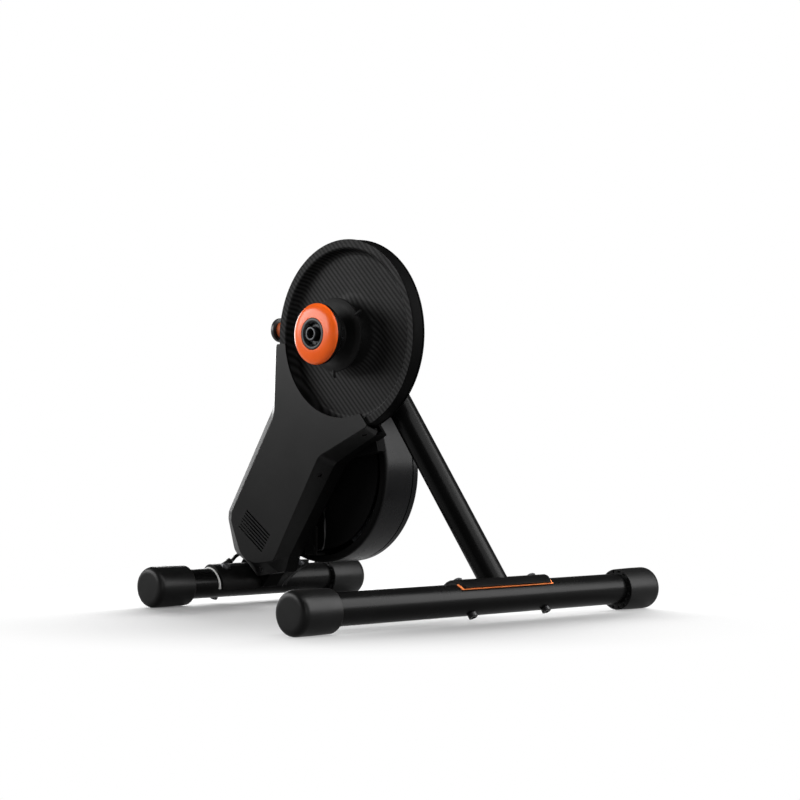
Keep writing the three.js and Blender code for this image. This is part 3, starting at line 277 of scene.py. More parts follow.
def parts_of(material):
    """A finish's tree and shader, the place on the piece, its slow patches and its grain"""
    nodes = material.node_tree.nodes
    return (material.node_tree, nodes["Principled BSDF"], nodes["Texture Coordinate"].outputs["Object"],
            nodes["Noise Texture.001"], nodes["Bump"])


def dress(piece, material, slot, *nodes, body="stand"):
    """Gives a piece its material, the CAD nodes that it stands for and its body; the record's slot is not
    used
    """
    piece.data.materials.clear()
    piece.data.materials.append(material)
    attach(piece, body)
    if nodes:
        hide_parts(*nodes)


# Powder coat over a casting: satin black with a fine orange peel, a little duller in patches
powder_coat = finish("powder_coated_casting", ("#070707", "#0b0b0b"), 1.8, 0.03, 35, (0.46, 0.6), gloss=0.018)
cleaned("frame_casting", powder_coat, "frame_casting", ["frame"], 0.7)


# Strut and legs
# Round steel tubes, cut square or mitred, powder coated in a smoother satin black. The strut
# runs from the casting's socket to the front saddle, and each leg passes through its saddle.
leg_radius, leg_height = 19.4, 27.5
front_leg_x, front_leg_ends = 232.0, (-299.8, 309.8)
rear_leg_x, rear_leg_ends = -203.0, (-142.8, 205.8)
strut_radius, strut_side, strut_in_socket, strut_above_leg = 17.2, 42.8, 18.0, 8.0
strut_way = Vector((0.6, 0, -0.8))


def new_tree(name, sizes):
    """An empty geometry tree with one named input for each size, and one for the finish"""
    tree = bpy.data.node_groups.new(name, "GeometryNodeTree")
    tree.interface.new_socket("Geometry", in_out="INPUT", socket_type="NodeSocketGeometry")
    for label, kind in (*sizes, ("Finish", "Material")):
        tree.interface.new_socket(label, in_out="INPUT", socket_type="NodeSocket" + kind)
    tree.interface.new_socket("Geometry", in_out="OUTPUT", socket_type="NodeSocketGeometry")
    return tree, tree.nodes.new("NodeGroupInput").outputs


def end_tree(tree, given, geometry):
    """The last steps of a tree: copies made real, and the finish put on"""
    whole = add(tree, "GeometryNodeRealizeInstances", {"Geometry": geometry})
    coated = add(tree, "GeometryNodeSetMaterial", {"Geometry": whole, "Material": given["Finish"]})
    add(tree, "NodeGroupOutput", {0: coated})
    return tree


def copies_on(tree, points, piece, **more):
    """Sets a copy of an object on each point, in a tree"""
    shape = add(tree, "GeometryNodeObjectInfo", {"Object": piece}).outputs["Geometry"]
    return add(tree, "GeometryNodeInstanceOnPoints", {"Points": points, "Instance": shape, **more})


def grow(piece, tree, **sizes):
    """Runs a tree on a piece and keeps the result as its plain mesh; objects given to the tree go"""
    step = piece.modifiers.new(tree.name, "NODES")
    step.node_group = tree
    for socket in tree.interface.items_tree:
        if socket.in_out == "INPUT" and socket.name in sizes:
            step[socket.identifier] = sizes[socket.name]
    return settle(piece, [value for value in sizes.values() if isinstance(value, bpy.types.Object)])


# Sweeps a round section along a chain of points
tree, given = new_tree("tube_along_path", [("Radius", "Float"), ("Sides", "Int")])
path = add(tree, "GeometryNodeMeshToCurve", {"Mesh": given["Geometry"]})
section = add(tree, "GeometryNodeCurvePrimitiveCircle",
              {"Resolution": given["Sides"], "Radius": given["Radius"]})
swept = add(tree, "GeometryNodeCurveToMesh", {"Curve": path, "Profile Curve": section, "Fill Caps": True})
tube_tree = end_tree(tree, given, swept)

# Powder coat over drawn steel tube: satin black, flatter than on the casting, with a soft broad sheen
coated_tube = finish("powder_coated_tube", ("#090909", "#0c0c0c"), 2.2, 0.005, 60, (0.24, 0.29), gloss=0.078)


def tube(name, points, radius, material, sides=96):
    """A round bar of a radius in mm along a chain of points"""
    chain = new_piece(name, points, [(i, i + 1) for i in range(len(points) - 1)])
    return shade(grow(chain, tube_tree, Radius=radius / 1000, Sides=sides, Finish=material))


for name, x, ends in (("front_leg", front_leg_x, front_leg_ends), ("rear_leg", rear_leg_x, rear_leg_ends)):
    leg = tube(name + "_tube", [spot(x, y, leg_height) for y in ends], leg_radius, coated_tube)
    dress(leg, coated_tube, "tube_paint", name)

strut_foot = Vector((front_leg_x, strut_side, leg_height))
strut_top = strut_foot - strut_way * ((axle_height - leg_height) / 0.8 - strut_in_socket)
strut_end = strut_foot - strut_way * strut_above_leg
strut = tube("strut_tube", [spot(*strut_top), spot(*strut_end)], strut_radius, coated_tube)
# The front lamp would draw a second line of light down the strut
keep_off("flagged_off_the_front_lamp", [front_lamp], floor, strut)
dress(strut, coated_tube, "tube_paint", "strut")


# Saddles, trims and their bolts
# Steel plates bent round the legs, each on a thin coloured gasket whose lip shows as a line.
# Two socket screws from below and a nut on top hold each one.
saddle_paint = finish("painted_pressed_steel", ("#0a0a0a", "#0e0e0e"), 2, 0.015, 40, (0.38, 0.48), gloss=0.07)
for name in ("front_saddle", "rear_saddle"):
    cleaned(name + "_plate", saddle_paint, "saddle_paint", [name], 0.5, 30)

# Moulded soft plastic gaskets, through-coloured and matt. The rear gasket's far lip is painted shade:
# near black for the saddle's shade over it. The top of the front one's near lip is near black too.
near_lip_from, near_lip_to, far_lip = 0.2248, 0.2238, 0.01
for name, slot_name, tones in (("front_trim", "orange_trim", ("#f98242", "#ff9150")),
                               ("rear_trim", "pale_trim", ("#c6c6c4", "#d4d4d2"))):
    gasket = finish("moulded_gasket_" + name, tones, 1.5, 0.02, 20, (0.45, 0.6), gloss=0.15)
    tree, shader, place, _, _ = parts_of(gasket)
    split = add(tree, "ShaderNodeSeparateXYZ", {0: place}).outputs
    # Near black over the lips named above: painted shade on the rear gasket's far lip
    if name == "rear_trim":
        darkened_lip = ramp(split["Y"], 0.0, far_lip)
    else:
        darkened_lip = ramp(split["X"], near_lip_from, near_lip_to)
        darkened_lip = maths("MULTIPLY", darkened_lip, maths("LESS_THAN", split["Y"], 0.0))
    own_colour = shader.inputs["Base Color"].links[0].from_socket
    feed(shader, {"Base Color": blend(darkened_lip, own_colour, "#0c0c0c")})
    cleaned(name + "_gasket", gasket, slot_name, [name], 0.0, 30)


def loft(name, rings, closed=False):
    """A closed body through rings of points: back to its start, or with a face at each end"""
    n, m = len(rings[0]), len(rings)
    faces = [(i * n + j, i * n + (j + 1) % n, (i + 1) % m * n + (j + 1) % n, (i + 1) % m * n + j)
             for i in range(m if closed else m - 1) for j in range(n)]
    if not closed:
        faces += [tuple(range(n)), tuple(range((m - 1) * n, m * n))]
    piece = new_piece(name, [point for ring in rings for point in ring], (), faces)
    made = bmesh.new()
    made.from_mesh(piece.data)
    bmesh.ops.remove_doubles(made, verts=made.verts, dist=0.000001)
    bmesh.ops.recalc_face_normals(made, faces=made.faces)
    made.to_mesh(piece.data)
    made.free()
    return piece


def turned(name, profile, base, way=(0, 1, 0), facets=192):
    """A body turned about an axis from [radius, distance along it] in mm; a closed ring or axis to axis"""
    way = Vector(way).normalized()
    side = way.orthogonal().normalized()
    other = way.cross(side)
    spokes = [side * cos(t) + other * sin(t) for t in (2 * pi * k / facets for k in range(facets))]
    rings = [[base + way * (along / 1000) + spoke * (radius / 1000) for spoke in spokes]
             for radius, along in profile]
    return shade(loft(name, rings, closed=profile[0][0] > 0))


def rounded(corner, back, on, reach, steps):
    """Points on a curve that cuts a corner, at a reach along the ways back and on from it"""
    start, end = corner + back.normalized() * reach, corner + on.normalized() * reach
    return [start * (1 - t) ** 2 + corner * 2 * t * (1 - t) + end * t ** 2
            for t in (k / steps for k in range(steps + 1))]


def eased(profile, radius, steps=4):
    """The same profile with its corners rounded; radius is one size in mm or one for each corner"""
    points = [Vector(p) for p in profile]
    sizes = radius if isinstance(radius, (list, tuple)) else [radius] * len(points)
    made = []
    for i, here in enumerate(points):
        back, on = points[i - 1] - here, points[(i + 1) % len(points)] - here
        reach = min(sizes[i], back.length * 0.48, on.length * 0.48)
        kept = reach < 0.02 or back.angle(on) > radians(172)
        made += [here] if kept else rounded(here, back, on, reach, steps)
    return made


def rod(name, radius, low, high, base, way=(0, 1, 0), facets=32, ease=(0, 0)):
    """A plain round bar between two distances along an axis, with its two edges eased, all in mm"""
    profile = [(0, low), (radius, low), (radius, high), (0, high)]
    return turned(name, eased(profile, [0, *ease, 0]), base, way, facets)


# Sets one copy of a piece on each point, turned so that its own Z follows the point's "way"
tree, given = new_tree("pieces_on_points", [("Piece", "Object")])
way_of = add(tree, "GeometryNodeInputNamedAttribute", {"Name": "way"}, data_type="FLOAT_VECTOR")
aimed = add(tree, "FunctionNodeAlignRotationToVector", {"Vector": way_of}, axis="Z")
on_points_tree = end_tree(tree, given, copies_on(tree, given["Geometry"], given["Piece"], Rotation=aimed))

# Cuts a ring of copies of a cutter out of a piece, round an axis that runs along Y
tree, given = new_tree("cuts_round_an_axis", [
    ("Cutter", "Object"), ("Count", "Int"), ("Ring", "Float"), ("Turn", "Vector"), ("Centre", "Vector")])
ring_of = add(tree, "GeometryNodeMeshCircle", {"Vertices": given["Count"], "Radius": given["Ring"]})
stood = add(tree, "GeometryNodeTransform",
            {"Geometry": ring_of, "Rotation": given["Turn"], "Translation": given["Centre"]})
whole = add(tree, "GeometryNodeRealizeInstances", {"Geometry": copies_on(tree, stood, given["Cutter"])})
cut = add(tree, "GeometryNodeMeshBoolean", {"Mesh 1": given["Geometry"], "Mesh 2": whole},
          operation="DIFFERENCE", solver="EXACT")
ring_cut_tree = end_tree(tree, given, cut)


def on_points(name, places, prototype, material):
    """Copies of a prototype on (point, way) places, as one mesh; the prototype goes"""
    piece = new_piece(name, [point for point, _ in places])
    ways = piece.data.attributes.new("way", "FLOAT_VECTOR", "POINT")
    ways.data.foreach_set("vector", [c for _, way in places for c in way])
    return shade(grow(piece, on_points_tree, Piece=prototype, Finish=material))


def notched(piece, cutter, count, ring, centre, material, turn=0.0, sharp=38.0):
    """A piece with a ring of copies of a cutter, at a radius in mm, taken out of it; the cutter goes"""
    piece.modifiers.clear()
    grow(piece, ring_cut_tree, Cutter=cutter, Count=count, Ring=ring / 1000, Turn=(pi / 2, turn, 0.0),
         Centre=centre, Finish=material)
    return shade(piece, sharp)


def without(piece, cutter):
    """A piece with one cutter taken out of it; the cutter goes"""
    piece.modifiers.clear()
    step = piece.modifiers.new("cut", "BOOLEAN")
    step.operation, step.object, step.solver = "DIFFERENCE", cutter, "EXACT"
    return shade(settle(piece, [cutter]))


origin = Vector((0, 0, 0))
bolt_radius, head_radius, head_height, bolt_spacing = 4.0, 5.8, 4.6, 133.0
nut_radius, nut_height, plate_outer, sunk, clear_of_plate, past_nut = 6.6, 2.6, 24.65, 0.6, 0.2, 0.9

# Black oxide on socket screws: near black, with a low metallic sheen that shows on the rounded edge
black_oxide = finish("black_oxide_steel", ("#171718", "#232324"), 1.2, 0.01, 8, (0.26, 0.42), metal=0.6)
# Zinc plate on the nuts: a brighter grey that catches the light on its corners
zinc = finish("zinc_plated_steel", ("#606164", "#78797c"), 1.2, 0.01, 6, (0.25, 0.4), metal=0.9)

bolt_places, nut_places = [], []
for leg_x, side, tilt in ((front_leg_x, 44.0, -33.0), (rear_leg_x, 35.0, 30.0)):
    way = Vector((sin(radians(tilt)), 0, cos(radians(tilt))))
    for end in (-1, 1):
        centre = Vector((leg_x, side + end * bolt_spacing / 2, leg_height))
        bolt_places.append((spot(*(centre - way * (leg_radius + clear_of_plate))), -way))
        nut_places.append((spot(*(centre + way * (plate_outer + clear_of_plate))), way))
head = rod("bolt_head", head_radius, -sunk, head_height, origin, (0, 0, 1), 32, (0.3, 1.1))
socket = rod("bolt_socket", head_radius / 2, 2, 9, origin, (0, 0, 1), 6)
nut = rod("nut", nut_radius, -sunk, nut_height, origin, (0, 0, 1), 6, (0.2, 0.6))
thread = rod("bolt_end", bolt_radius, 0, nut_height + past_nut, origin, (0, 0, 1), 24, (0, 0.6))
for name, places, prototype, material, kind in (
        ("saddle_bolts", bolt_places, without(head, socket), black_oxide, "bolt"),
        ("saddle_nuts", nut_places, nut, zinc, "nut"), ("bolt_ends", nut_places, thread, zinc, None)):
    nodes = [f"{leg_name}_{kind}_{k}" for leg_name in ("front", "rear") for k in (1, 2)] if kind else []
    dress(on_points(name, places, prototype, material), material, "fastener_steel", *nodes)


# Foot caps
# Four moulded caps of hard rubber that push on the leg ends. Their bore is a little off centre,
# so turning one levels the trainer. A ring of moulding pockets shows on the inner face.
foot_radius, foot_length, foot_edge, foot_throw = 26.5, 60.0, 9.5, 1.0
pocket_count, pocket_radius, pocket_depth, pocket_ring = 16, 1.9, 3.0, 23.0

# Hard rubber: matt black that greys where it turns to the light, with a fine moulded grain
hard_rubber = finish("moulded_hard_rubber", ("#0e0e0e", "#121212"), 1.6, 0.02, 30, (0.33, 0.4), gloss=0.125)
cap_profile = eased([(0, 0), (foot_radius - 0.6, 0), (foot_radius, foot_length / 2),
                     (foot_radius, foot_length), (0, foot_length)], [0, 1.2, 4, foot_edge, 0], 8)
for leg_name, side_name, x, tip_at, outward in (
        ("front", "left", front_leg_x, -310, -1), ("front", "right", front_leg_x, 320, 1),
        ("rear", "left", rear_leg_x, -153, -1), ("rear", "right", rear_leg_x, 216, 1)):
    inner = spot(x, tip_at - outward * foot_length, leg_height - foot_throw)
    foot = turned(f"{leg_name}_{side_name}_cap", cap_profile, inner, (0, outward, 0), 128)
    pocket = rod("pocket", pocket_radius, -pocket_depth, pocket_depth, origin, facets=10)
    notched(foot, pocket, pocket_count, pocket_ring, inner, hard_rubber, pi / pocket_count, 50)
    dress(foot, hard_rubber, "foot_rubber", f"{leg_name}_foot_{side_name}",
          body=f"foot_{leg_name}_{side_name}")


# Main axle
# A hollow steel axle fixed in the hub boss. Its ends stand just proud, so that a skewer or thru
# axle pulls the bike's dropouts against them.
hub = spot(0, 0, axle_height)
axle_radius, axle_bore, axle_mouth, axle_front, axle_back = 8.8, 5.0, 6.3, -60.0, 75.0
cap_from, cap_to, cap_bore = 66.2, axle_back - 0.3, axle_radius + 0.15

# Nickel-plated steel, turned: mid grey, with small patches that differ in gloss
turned_steel = finish("turned_plated_steel", ("#28292a", "#363739"), 0.9, 0.008, 9, (0.28, 0.42), metal=0.85)
axle_profile = eased([(axle_mouth, axle_front), (axle_radius, axle_front), (axle_radius, axle_back),
                      (axle_bore, axle_back), (axle_bore, axle_front + 4)], [0.4, 0.9, 0.9, 0.4, 0.4])
dress(turned("main_axle_tube", axle_profile, hub, facets=64), turned_steel, "machined_steel", "main_axle")
# Hard-anodised aluminium: dark grey and even, a little duller than the steel beside it
dark_alloy = finish("anodised_dark_aluminium", ("#1a1b1c", "#232425"), 1.0, 0.01, 12, (0.32, 0.45), metal=0.8)
nut_profile = eased([(cap_bore, cap_from), (17, cap_from), (13.6, cap_to), (cap_bore, cap_to)], 1.0)
dress(turned("axle_nut", nut_profile, hub, facets=96), dark_alloy, "dark_aluminium", "axle_end_cap")
for node in ("hub_bearing", "flywheel_bearing_1", "flywheel_bearing_2", "idler_pin"):
    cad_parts[node].material_slots[0].material = turned_steel


# Flywheel
# A heavy cast iron cup on its shaft, turned all over, painted in satin grey outside and black
# inside, a black that is partly painted shade. Its open side faces the frame, and a groove near the back edge
# marks the back flange.
wheel_x, wheel_z, wheel_radius, wheel_inside = -106.0, 176.0, 121.5, 112.5
shaft_radius, shaft_length, on_shaft = 8.4, 122, 8.55
wheel_centre = spot(wheel_x, 0, wheel_z)
wheel_profile = [
    (on_shaft, 95), (25.2, 95), (29, 108.5), (wheel_inside, 108.5), (wheel_inside, 58), (wheel_radius, 58),
    (wheel_radius, 109.2), (wheel_radius - 1.6, 109.2), (wheel_radius - 1.6, 110.8), (wheel_radius, 110.8),
    (wheel_radius, 120), (wheel_inside, 120), (107.5, 117.5), (35.3, 117.5), (30.2, 120), (on_shaft, 120)]
wheel_eases = [0.4, 1, 3, 3, 1, 9, 0.3, 0.2, 0.2, 0.3, 1.8, 1.5, 2, 2, 1.5, 0.4]
flywheel = turned("flywheel_cup", eased(wheel_profile, wheel_eases, 5), wheel_centre, facets=256)


def round_axis(tree, place, centre):
    """The place counted from a centre, axis by axis, and how far it is from the line along Y through it"""
    moved = add(tree, "ShaderNodeMapping", {"Vector": place, "Location": -centre})
    split = add(tree, "ShaderNodeSeparateXYZ", {0: moved}).outputs
    flat = add(tree, "ShaderNodeCombineXYZ", {"X": split["X"], "Y": split["Z"]})
    return split, add(tree, "ShaderNodeVectorMath", {0: flat}, operation="LENGTH").outputs["Value"]


def ridged(material, value, pitch, strength, depth):
    """Lays fine ridges over a finish's grain, at a pitch along a value; pitch and depth in mm"""
    tree, shader, _, _, bump = parts_of(material)
    wave = maths("SINE", maths("MULTIPLY", value, 2 * pi * 1000 / pitch))
    feed(shader, {"Normal": add(tree, "ShaderNodeBump", {"Height": wave, "Strength": strength,
                                                         "Distance": depth / 1000, "Normal": bump})})


# Satin paint over turned iron: dark grey with a broad soft sheen. The cup's inside, and the lip of
# its mouth, are near black and rough: partly black paint, partly painted shade for the shade in the cup.
bore_edge, web_face, lip_from, lip_to, mouth_and_inside_roughness = 0.1135, 0.112, 0.059, 0.066, 0.95
wheel_paint = finish("satin_paint_on_turned_iron", None, 1.5, 0.01, 50, (0.24, 0.31), gloss=0.08)
tree, shader, place, _, _ = parts_of(wheel_paint)
split, far_out = round_axis(tree, place, wheel_centre)
# Tool rings 2.5 mm apart, coarser than the real feed of a few tenths so that they show
ridged(wheel_paint, far_out, 2.5, 0.15, 0.02)
# The inside and the mouth's lip: near black, partly as painted shade
inside = maths("MULTIPLY", maths("LESS_THAN", far_out, bore_edge), maths("LESS_THAN", split["Y"], web_face))
inside = maths("MAXIMUM", inside, ramp(split["Y"], lip_from, lip_to, 1.0, 0.0, smooth=True))
satin = shader.inputs["Roughness"].links[0].from_socket
feed(shader, {"Base Color": blend(inside, "#0b0b0c", "#020202"),
              "Roughness": add(tree, "ShaderNodeMix", {"Factor": inside, "A": satin, "B": mouth_and_inside_roughness})})
dress(flywheel, wheel_paint, "flywheel_iron", "flywheel", body="flywheel_rotor")

dress(rod("flywheel_shaft_bar", shaft_radius, 0, shaft_length, wheel_centre, facets=64, ease=(0.8, 0.8)),
      turned_steel, "machined_steel", "flywheel_shaft", body="flywheel_rotor")
pinion_flange, pinion_crest, pinion_root = 20.5, 15.6, 14.2
groove_count, groove_pitch, groove_from = 12, 1.287, 2.4
pinion_profile = [(on_shaft, 0), (pinion_flange, 0), (pinion_flange, 1), (pinion_crest, 2)]
for k in range(groove_count):
    pinion_profile += [(pinion_crest, groove_from + k * groove_pitch),
                       (pinion_root, groove_from + (k + 0.5) * groove_pitch)]
pinion_profile += [(pinion_crest, 18), (pinion_flange, 19), (pinion_flange, 20), (on_shaft, 20)]
dress(turned("ribbed_pinion", pinion_profile, wheel_centre, facets=64),
      dark_alloy, "dark_aluminium", "pinion", body="flywheel_rotor")


# Brake
# A steel plate on the frame carries a laminated core with four wound poles inside the flywheel.
# The plate closes the flywheel's mouth and is matt black, drawn darker still as painted shade.
# Matt black primer, its tone made darker still as painted shade for the shade in the flywheel's mouth
black_primer_and_painted_shade = finish("matt_black_primer", ("#040404", "#070707"), 1.4, 0.02, 25, (0.72, 0.88), gloss=0.05)
cleaned("brake_plate", black_primer_and_painted_shade, "bracket_paint", ["brake_carrier"], 0.5)

# Stacked sheet steel: plates 1 mm apart, drawn coarser than real ones, line the poles' faces
laminated = finish("laminated_sheet_steel", ("#434446", "#545558"), 1.0, 0.01, 10, (0.42, 0.58), metal=0.8)
tree, _, place, _, _ = parts_of(laminated)
ridged(laminated, add(tree, "ShaderNodeSeparateXYZ", {0: place}).outputs["Y"], 1.0, 0.7, 0.1)
cleaned("brake_laminations", laminated, "core_steel", ["brake_core"], 0.4)

# Enamelled copper wire wound in close turns: warm and glossy, each turn 1.2 mm wide
copper_wire = finish("enamelled_copper_wire", ("#93502a", "#b4683a"), 1.0, 0.01, 8, (0.25, 0.38), metal=0.9)
tree, _, place, _, _ = parts_of(copper_wire)
ridged(copper_wire, round_axis(tree, place, wheel_centre)[1], 1.2, 0.9, 0.3)
cleaned("brake_windings", copper_wire, "coil_copper", [f"brake_coil_{k}" for k in (1, 2, 3, 4)], 1.5)


# Pulley disc
# A moulded disc with a raised rim, a dished face and a hub cone, faced with a twill-weave skin.
# Its edge is a flanged pulley that carries the belt.
disc_radius, groove_radius = 122.0, 117.5
disc_profile = [
    (17.65, -10), (27, -10), (29.5, -1), (37.8, 8.4), (50, 14), (106.5, 14), (110.5, 0), (disc_radius, 0),
    (disc_radius, 2), (groove_radius, 2), (groove_radius, 18), (disc_radius, 18), (disc_radius, 20),
    (110, 20), (108, 18), (29, 18), (27, 22.3), (17.65, 22.3)]
disc_eases = [0.4, 1.5, 6, 8, 9, 5, 2.2, 1.4, 0.3, 0.3, 0.3, 0.2, 0.2, 1, 1, 2, 1, 0.4]
disc = turned("twill_disc", eased(disc_profile, disc_eases, 6), hub, facets=288)

# Carbon twill under a satin varnish: 2 mm tows, each over two and under two, so that the tows line
# up in diagonal ribs that fall towards the front leg. Their light and dark tones are painted reflection.
tow, twill_repeat, weave_depth = 0.002, 4.0, 0.0002
rim_edge, back_edge, cone_from, cone_to = 0.1212, 0.0165, 0.038, 0.044
twill = plain_finish("varnished_carbon_twill", gloss=0.026)
tree, shader = twill.node_tree, twill.node_tree.nodes["Principled BSDF"]
place = add(tree, "ShaderNodeTexCoord").outputs["Object"]
split, far_out = round_axis(tree, place, hub)
along, above = maths("DIVIDE", split["X"], tow), maths("DIVIDE", split["Z"], tow)
step = maths("ADD", maths("FLOOR", along), maths("FLOOR", above))
warp = maths("LESS_THAN", maths("FLOORED_MODULO", step, twill_repeat), 1.5)
across = add(tree, "ShaderNodeMix", {"Factor": warp, "A": maths("FRACT", above), "B": maths("FRACT", along)})
crown = maths("SINE", maths("MULTIPLY", across, pi))
# The diagonal rib itself, a smooth wave four tows long, keeps the twill readable from a step away
rib = maths("SINE", maths("MULTIPLY", maths("ADD", along, above), 2 * pi / twill_repeat))
relief = maths("MULTIPLY_ADD", rib, 0.7, crown)
weave = add(tree, "ShaderNodeBump", {"Height": relief, "Strength": 0.28, "Distance": weave_depth})
rib_share = maths("MULTIPLY_ADD", rib, 0.5, 0.5)
# The skin ends at the rim's edge; the pulley's own groove and flanges are plain black moulding
pulley_side = maths("MAXIMUM", maths("GREATER_THAN", far_out, rim_edge),
                    maths("GREATER_THAN", split["Y"], back_edge))
# The hub cone is bare moulding too: the skin stops where the web starts to rise
bare = maths("MAXIMUM", pulley_side, ramp(far_out, cone_from, cone_to, 1.0, 0.0, smooth=True))
# A tow that lies the other way scatters the light, so the ribs differ in gloss, and their tone
# differs as a painted reflection of that
slow = add(tree, "ShaderNodeTexNoise", {"Vector": place, "Scale": 1000 / 45, "Detail": 2.0})
varnish = maths("MULTIPLY_ADD", rib_share, -0.08, ramp(slow, 0.3, 0.7, 0.38, 0.48))
rough = add(tree, "ShaderNodeMix", {"Factor": pulley_side, "A": varnish, "B": 0.7})
# Light and dark tows: painted reflection
skin_tone_as_painted_reflection = blend(rib_share, "#151515", "#2c2c2c")
# The bare cone's grey is lighter than the moulding's black: painted light that lifts the shade the hub and
# guards cast on it
bare_tone_with_painted_light = blend(pulley_side, "#131313", "#060606")
feed(shader, {"Base Color": blend(bare, skin_tone_as_painted_reflection, bare_tone_with_painted_light), "Roughness": rough, "Normal": weave})
dress(disc, twill, "disc_composite", "pulley_disc", body="pulley")


# Belt and idler
# A ribbed rubber belt runs round the disc and the flywheel's pinion, and an idler roller presses
# its back to keep it tight.
belt_thickness, belt_from, belt_to, belt_gap, rib_count = 3.6, 2.4, 17.6, 0.3, 6
idler_x, idler_z, idler_radius, idler_bore = -69.0, 189.0, 14.0, 5.15
half, belt_edge = belt_thickness / 2, 0.5
# Each wheel: its middle, the radius of the belt's middle line on it, and the side that the belt bends to
stops = [(x, z, radius + belt_gap + half, sense)
         for x, z, radius, sense in ((0, axle_height, groove_radius, 1), (wheel_x, wheel_z, pinion_crest, 1),
                                     (idler_x, idler_z, idler_radius, -1))]


def straight_run(start, end):
    """The angles at which a straight run leaves one wheel and meets the next"""
    dx, dz = end[0] - start[0], end[1] - start[1]
    turn = atan2(dz, dx) - acos((start[2] * start[3] - end[2] * end[3]) / hypot(dx, dz))
    return turn + (pi if start[3] < 0 else 0), turn + (pi if end[3] < 0 else 0)


runs = [straight_run(stops[k], stops[(k + 1) % 3]) for k in range(3)]
belt_line = []
for k, (x, z, radius, sense) in enumerate(stops):
    start = runs[k - 1][1]
    sweep = sense * (((runs[k][0] - start) * sense) % (2 * pi))
    steps = max(6, ceil(abs(sweep) / (2 * pi) * (200 if k == 0 else 48)))
    for j in range(steps + 1):
        a = start + sweep * j / steps
        belt_line.append((x + radius * cos(a), z + radius * sin(a), cos(a) * sense, sin(a) * sense))
belt_section = [(half, belt_from + belt_edge), (half, belt_to - belt_edge), (half - belt_edge, belt_to),
                (-half * 0.2, belt_to)]
width = (belt_to - belt_from) / rib_count
for k in range(rib_count):
    belt_section += [(-half, belt_to - (k + 0.35) * width), (-half, belt_to - (k + 0.65) * width),
                     (-half * 0.3, belt_to - (k + 1) * width)]
belt_section.append((half - belt_edge, belt_from))
belt = loft("ribbed_belt", [[spot(x + nx * r, y, z + nz * r) for r, y in belt_section]
                            for x, z, nx, nz in belt_line], closed=True)
# Belt rubber: soft black with a ground back, a shade duller than the mouldings beside it
belt_rubber = finish("ground_belt_rubber", ("#060606", "#090909"), 1.5, 0.02, 20, (0.5, 0.62), gloss=0.014)
dress(shade(belt), belt_rubber, "belt_rubber", "belt")
drum = [(idler_bore, belt_from), (idler_radius, belt_from), (idler_radius, belt_to), (idler_bore, belt_to)]
dress(turned("idler_roller_drum", eased(drum, 0.8), spot(idler_x, 0, idler_z), facets=64),
      dark_alloy, "dark_aluminium", "idler_roller", body="idler")


# Freehub, cog and guards
# The splined freehub takes one cog between two black nylon guards, so that any chain length
# and cog spacing works. The rear guard's three fingers keep a dropped chain off the disc.
barrel_bore, barrel, barrel_foot, on_barrel = 9.1, 17.2, 19.6, 17.35
freehub = turned("freehub_barrel", eased([
    (barrel_bore, -50.8), (barrel, -50.8), (barrel, -14.8), (barrel_foot, -14.8), (barrel_foot, -10.3),
    (barrel_bore, -10.3)], 0.5), hub, facets=96)
notched(freehub, rod("spline", 1.9, -60, -15.2, origin, facets=12), 9, 18.1, hub, dark_alloy)
dress(freehub, dark_alloy, "dark_aluminium", "freehub_body", body="freehub")

cog_teeth, cog_tip, tooth_land, cog_from, cog_to = 14, 31.4, 1.5, -33.5, -31.1
cog = turned("single_cog", eased([
    (on_barrel, cog_from), (cog_tip - tooth_land, cog_from), (cog_tip, cog_from + 0.8),
    (cog_tip, cog_to - 0.8), (cog_tip - tooth_land, cog_to), (on_barrel, cog_to)], 0.2), hub, facets=140)
notched(cog, rod("tooth_gap", 5.2, -45, -25, origin, facets=40), cog_teeth, 31.0, hub, turned_steel)
dress(cog, turned_steel, "machined_steel", "cog", body="freehub")

# Glass-filled nylon: dense black with a slight gloss on its turned edges
nylon = finish("glass_filled_nylon", ("#0a0a0a", "#0f0f0f"), 1.2, 0.012, 18, (0.36, 0.46), gloss=0.08)
front_guard = turned("front_guard_spool", eased([
    (on_barrel, -50.6), (19.6, -50.6), (19.6, -48.8), (38.4, -48.8), (38.4, -42.4), (36.4, -40.4),
    (23.2, -40.4), (23.2, -33.7), (on_barrel, -33.7)], [0.2, 0.2, 0.2, 0.8, 1.2, 1.2, 1.5, 0.5, 0.2]),
    hub, facets=128)
dress(front_guard, nylon, "guard_plastic", "front_guard", body="freehub")
rear_guard = turned("rear_guard_dish", eased([
    (on_barrel, -30.9), (23.2, -30.9), (23.2, -20), (40.4, -20), (47, -17.4), (47, -14.8), (40.4, -17.4),
    (23.2, -17.4), (23.2, -15), (on_barrel, -15)], [0.2, 0.8, 2, 3, 1, 1, 3, 1, 0.3, 0.2]), hub, facets=128)
# The guard that faces the disc is left as moulded: the same nylon, but flat and dull
moulded_nylon = finish("as_moulded_nylon", ("#0d0d0d", "#121212"), 1.2, 0.03, 18, (0.55, 0.68), gloss=0.12)
finger_line, finger_radius = [(44.5, -16.8), (48, -16.8), (51, -16.8), (52.8, -16.2), (53.9, -15.0)], 2.0
joined = bmesh.new()
joined.from_mesh(rear_guard.data)
for share in (0.09, 0.42, 0.745):
    a = share * 2 * pi
    bent = [hub + Vector((cos(a) * r, y, sin(a) * r)) / 1000 for r, y in finger_line]
    finger = tube("finger", bent, finger_radius, moulded_nylon, 20)
    joined.from_mesh(finger.data)
    bpy.data.objects.remove(finger)
joined.to_mesh(rear_guard.data)
joined.free()
dress(shade(rear_guard), moulded_nylon, "guard_plastic", "rear_guard", body="freehub")


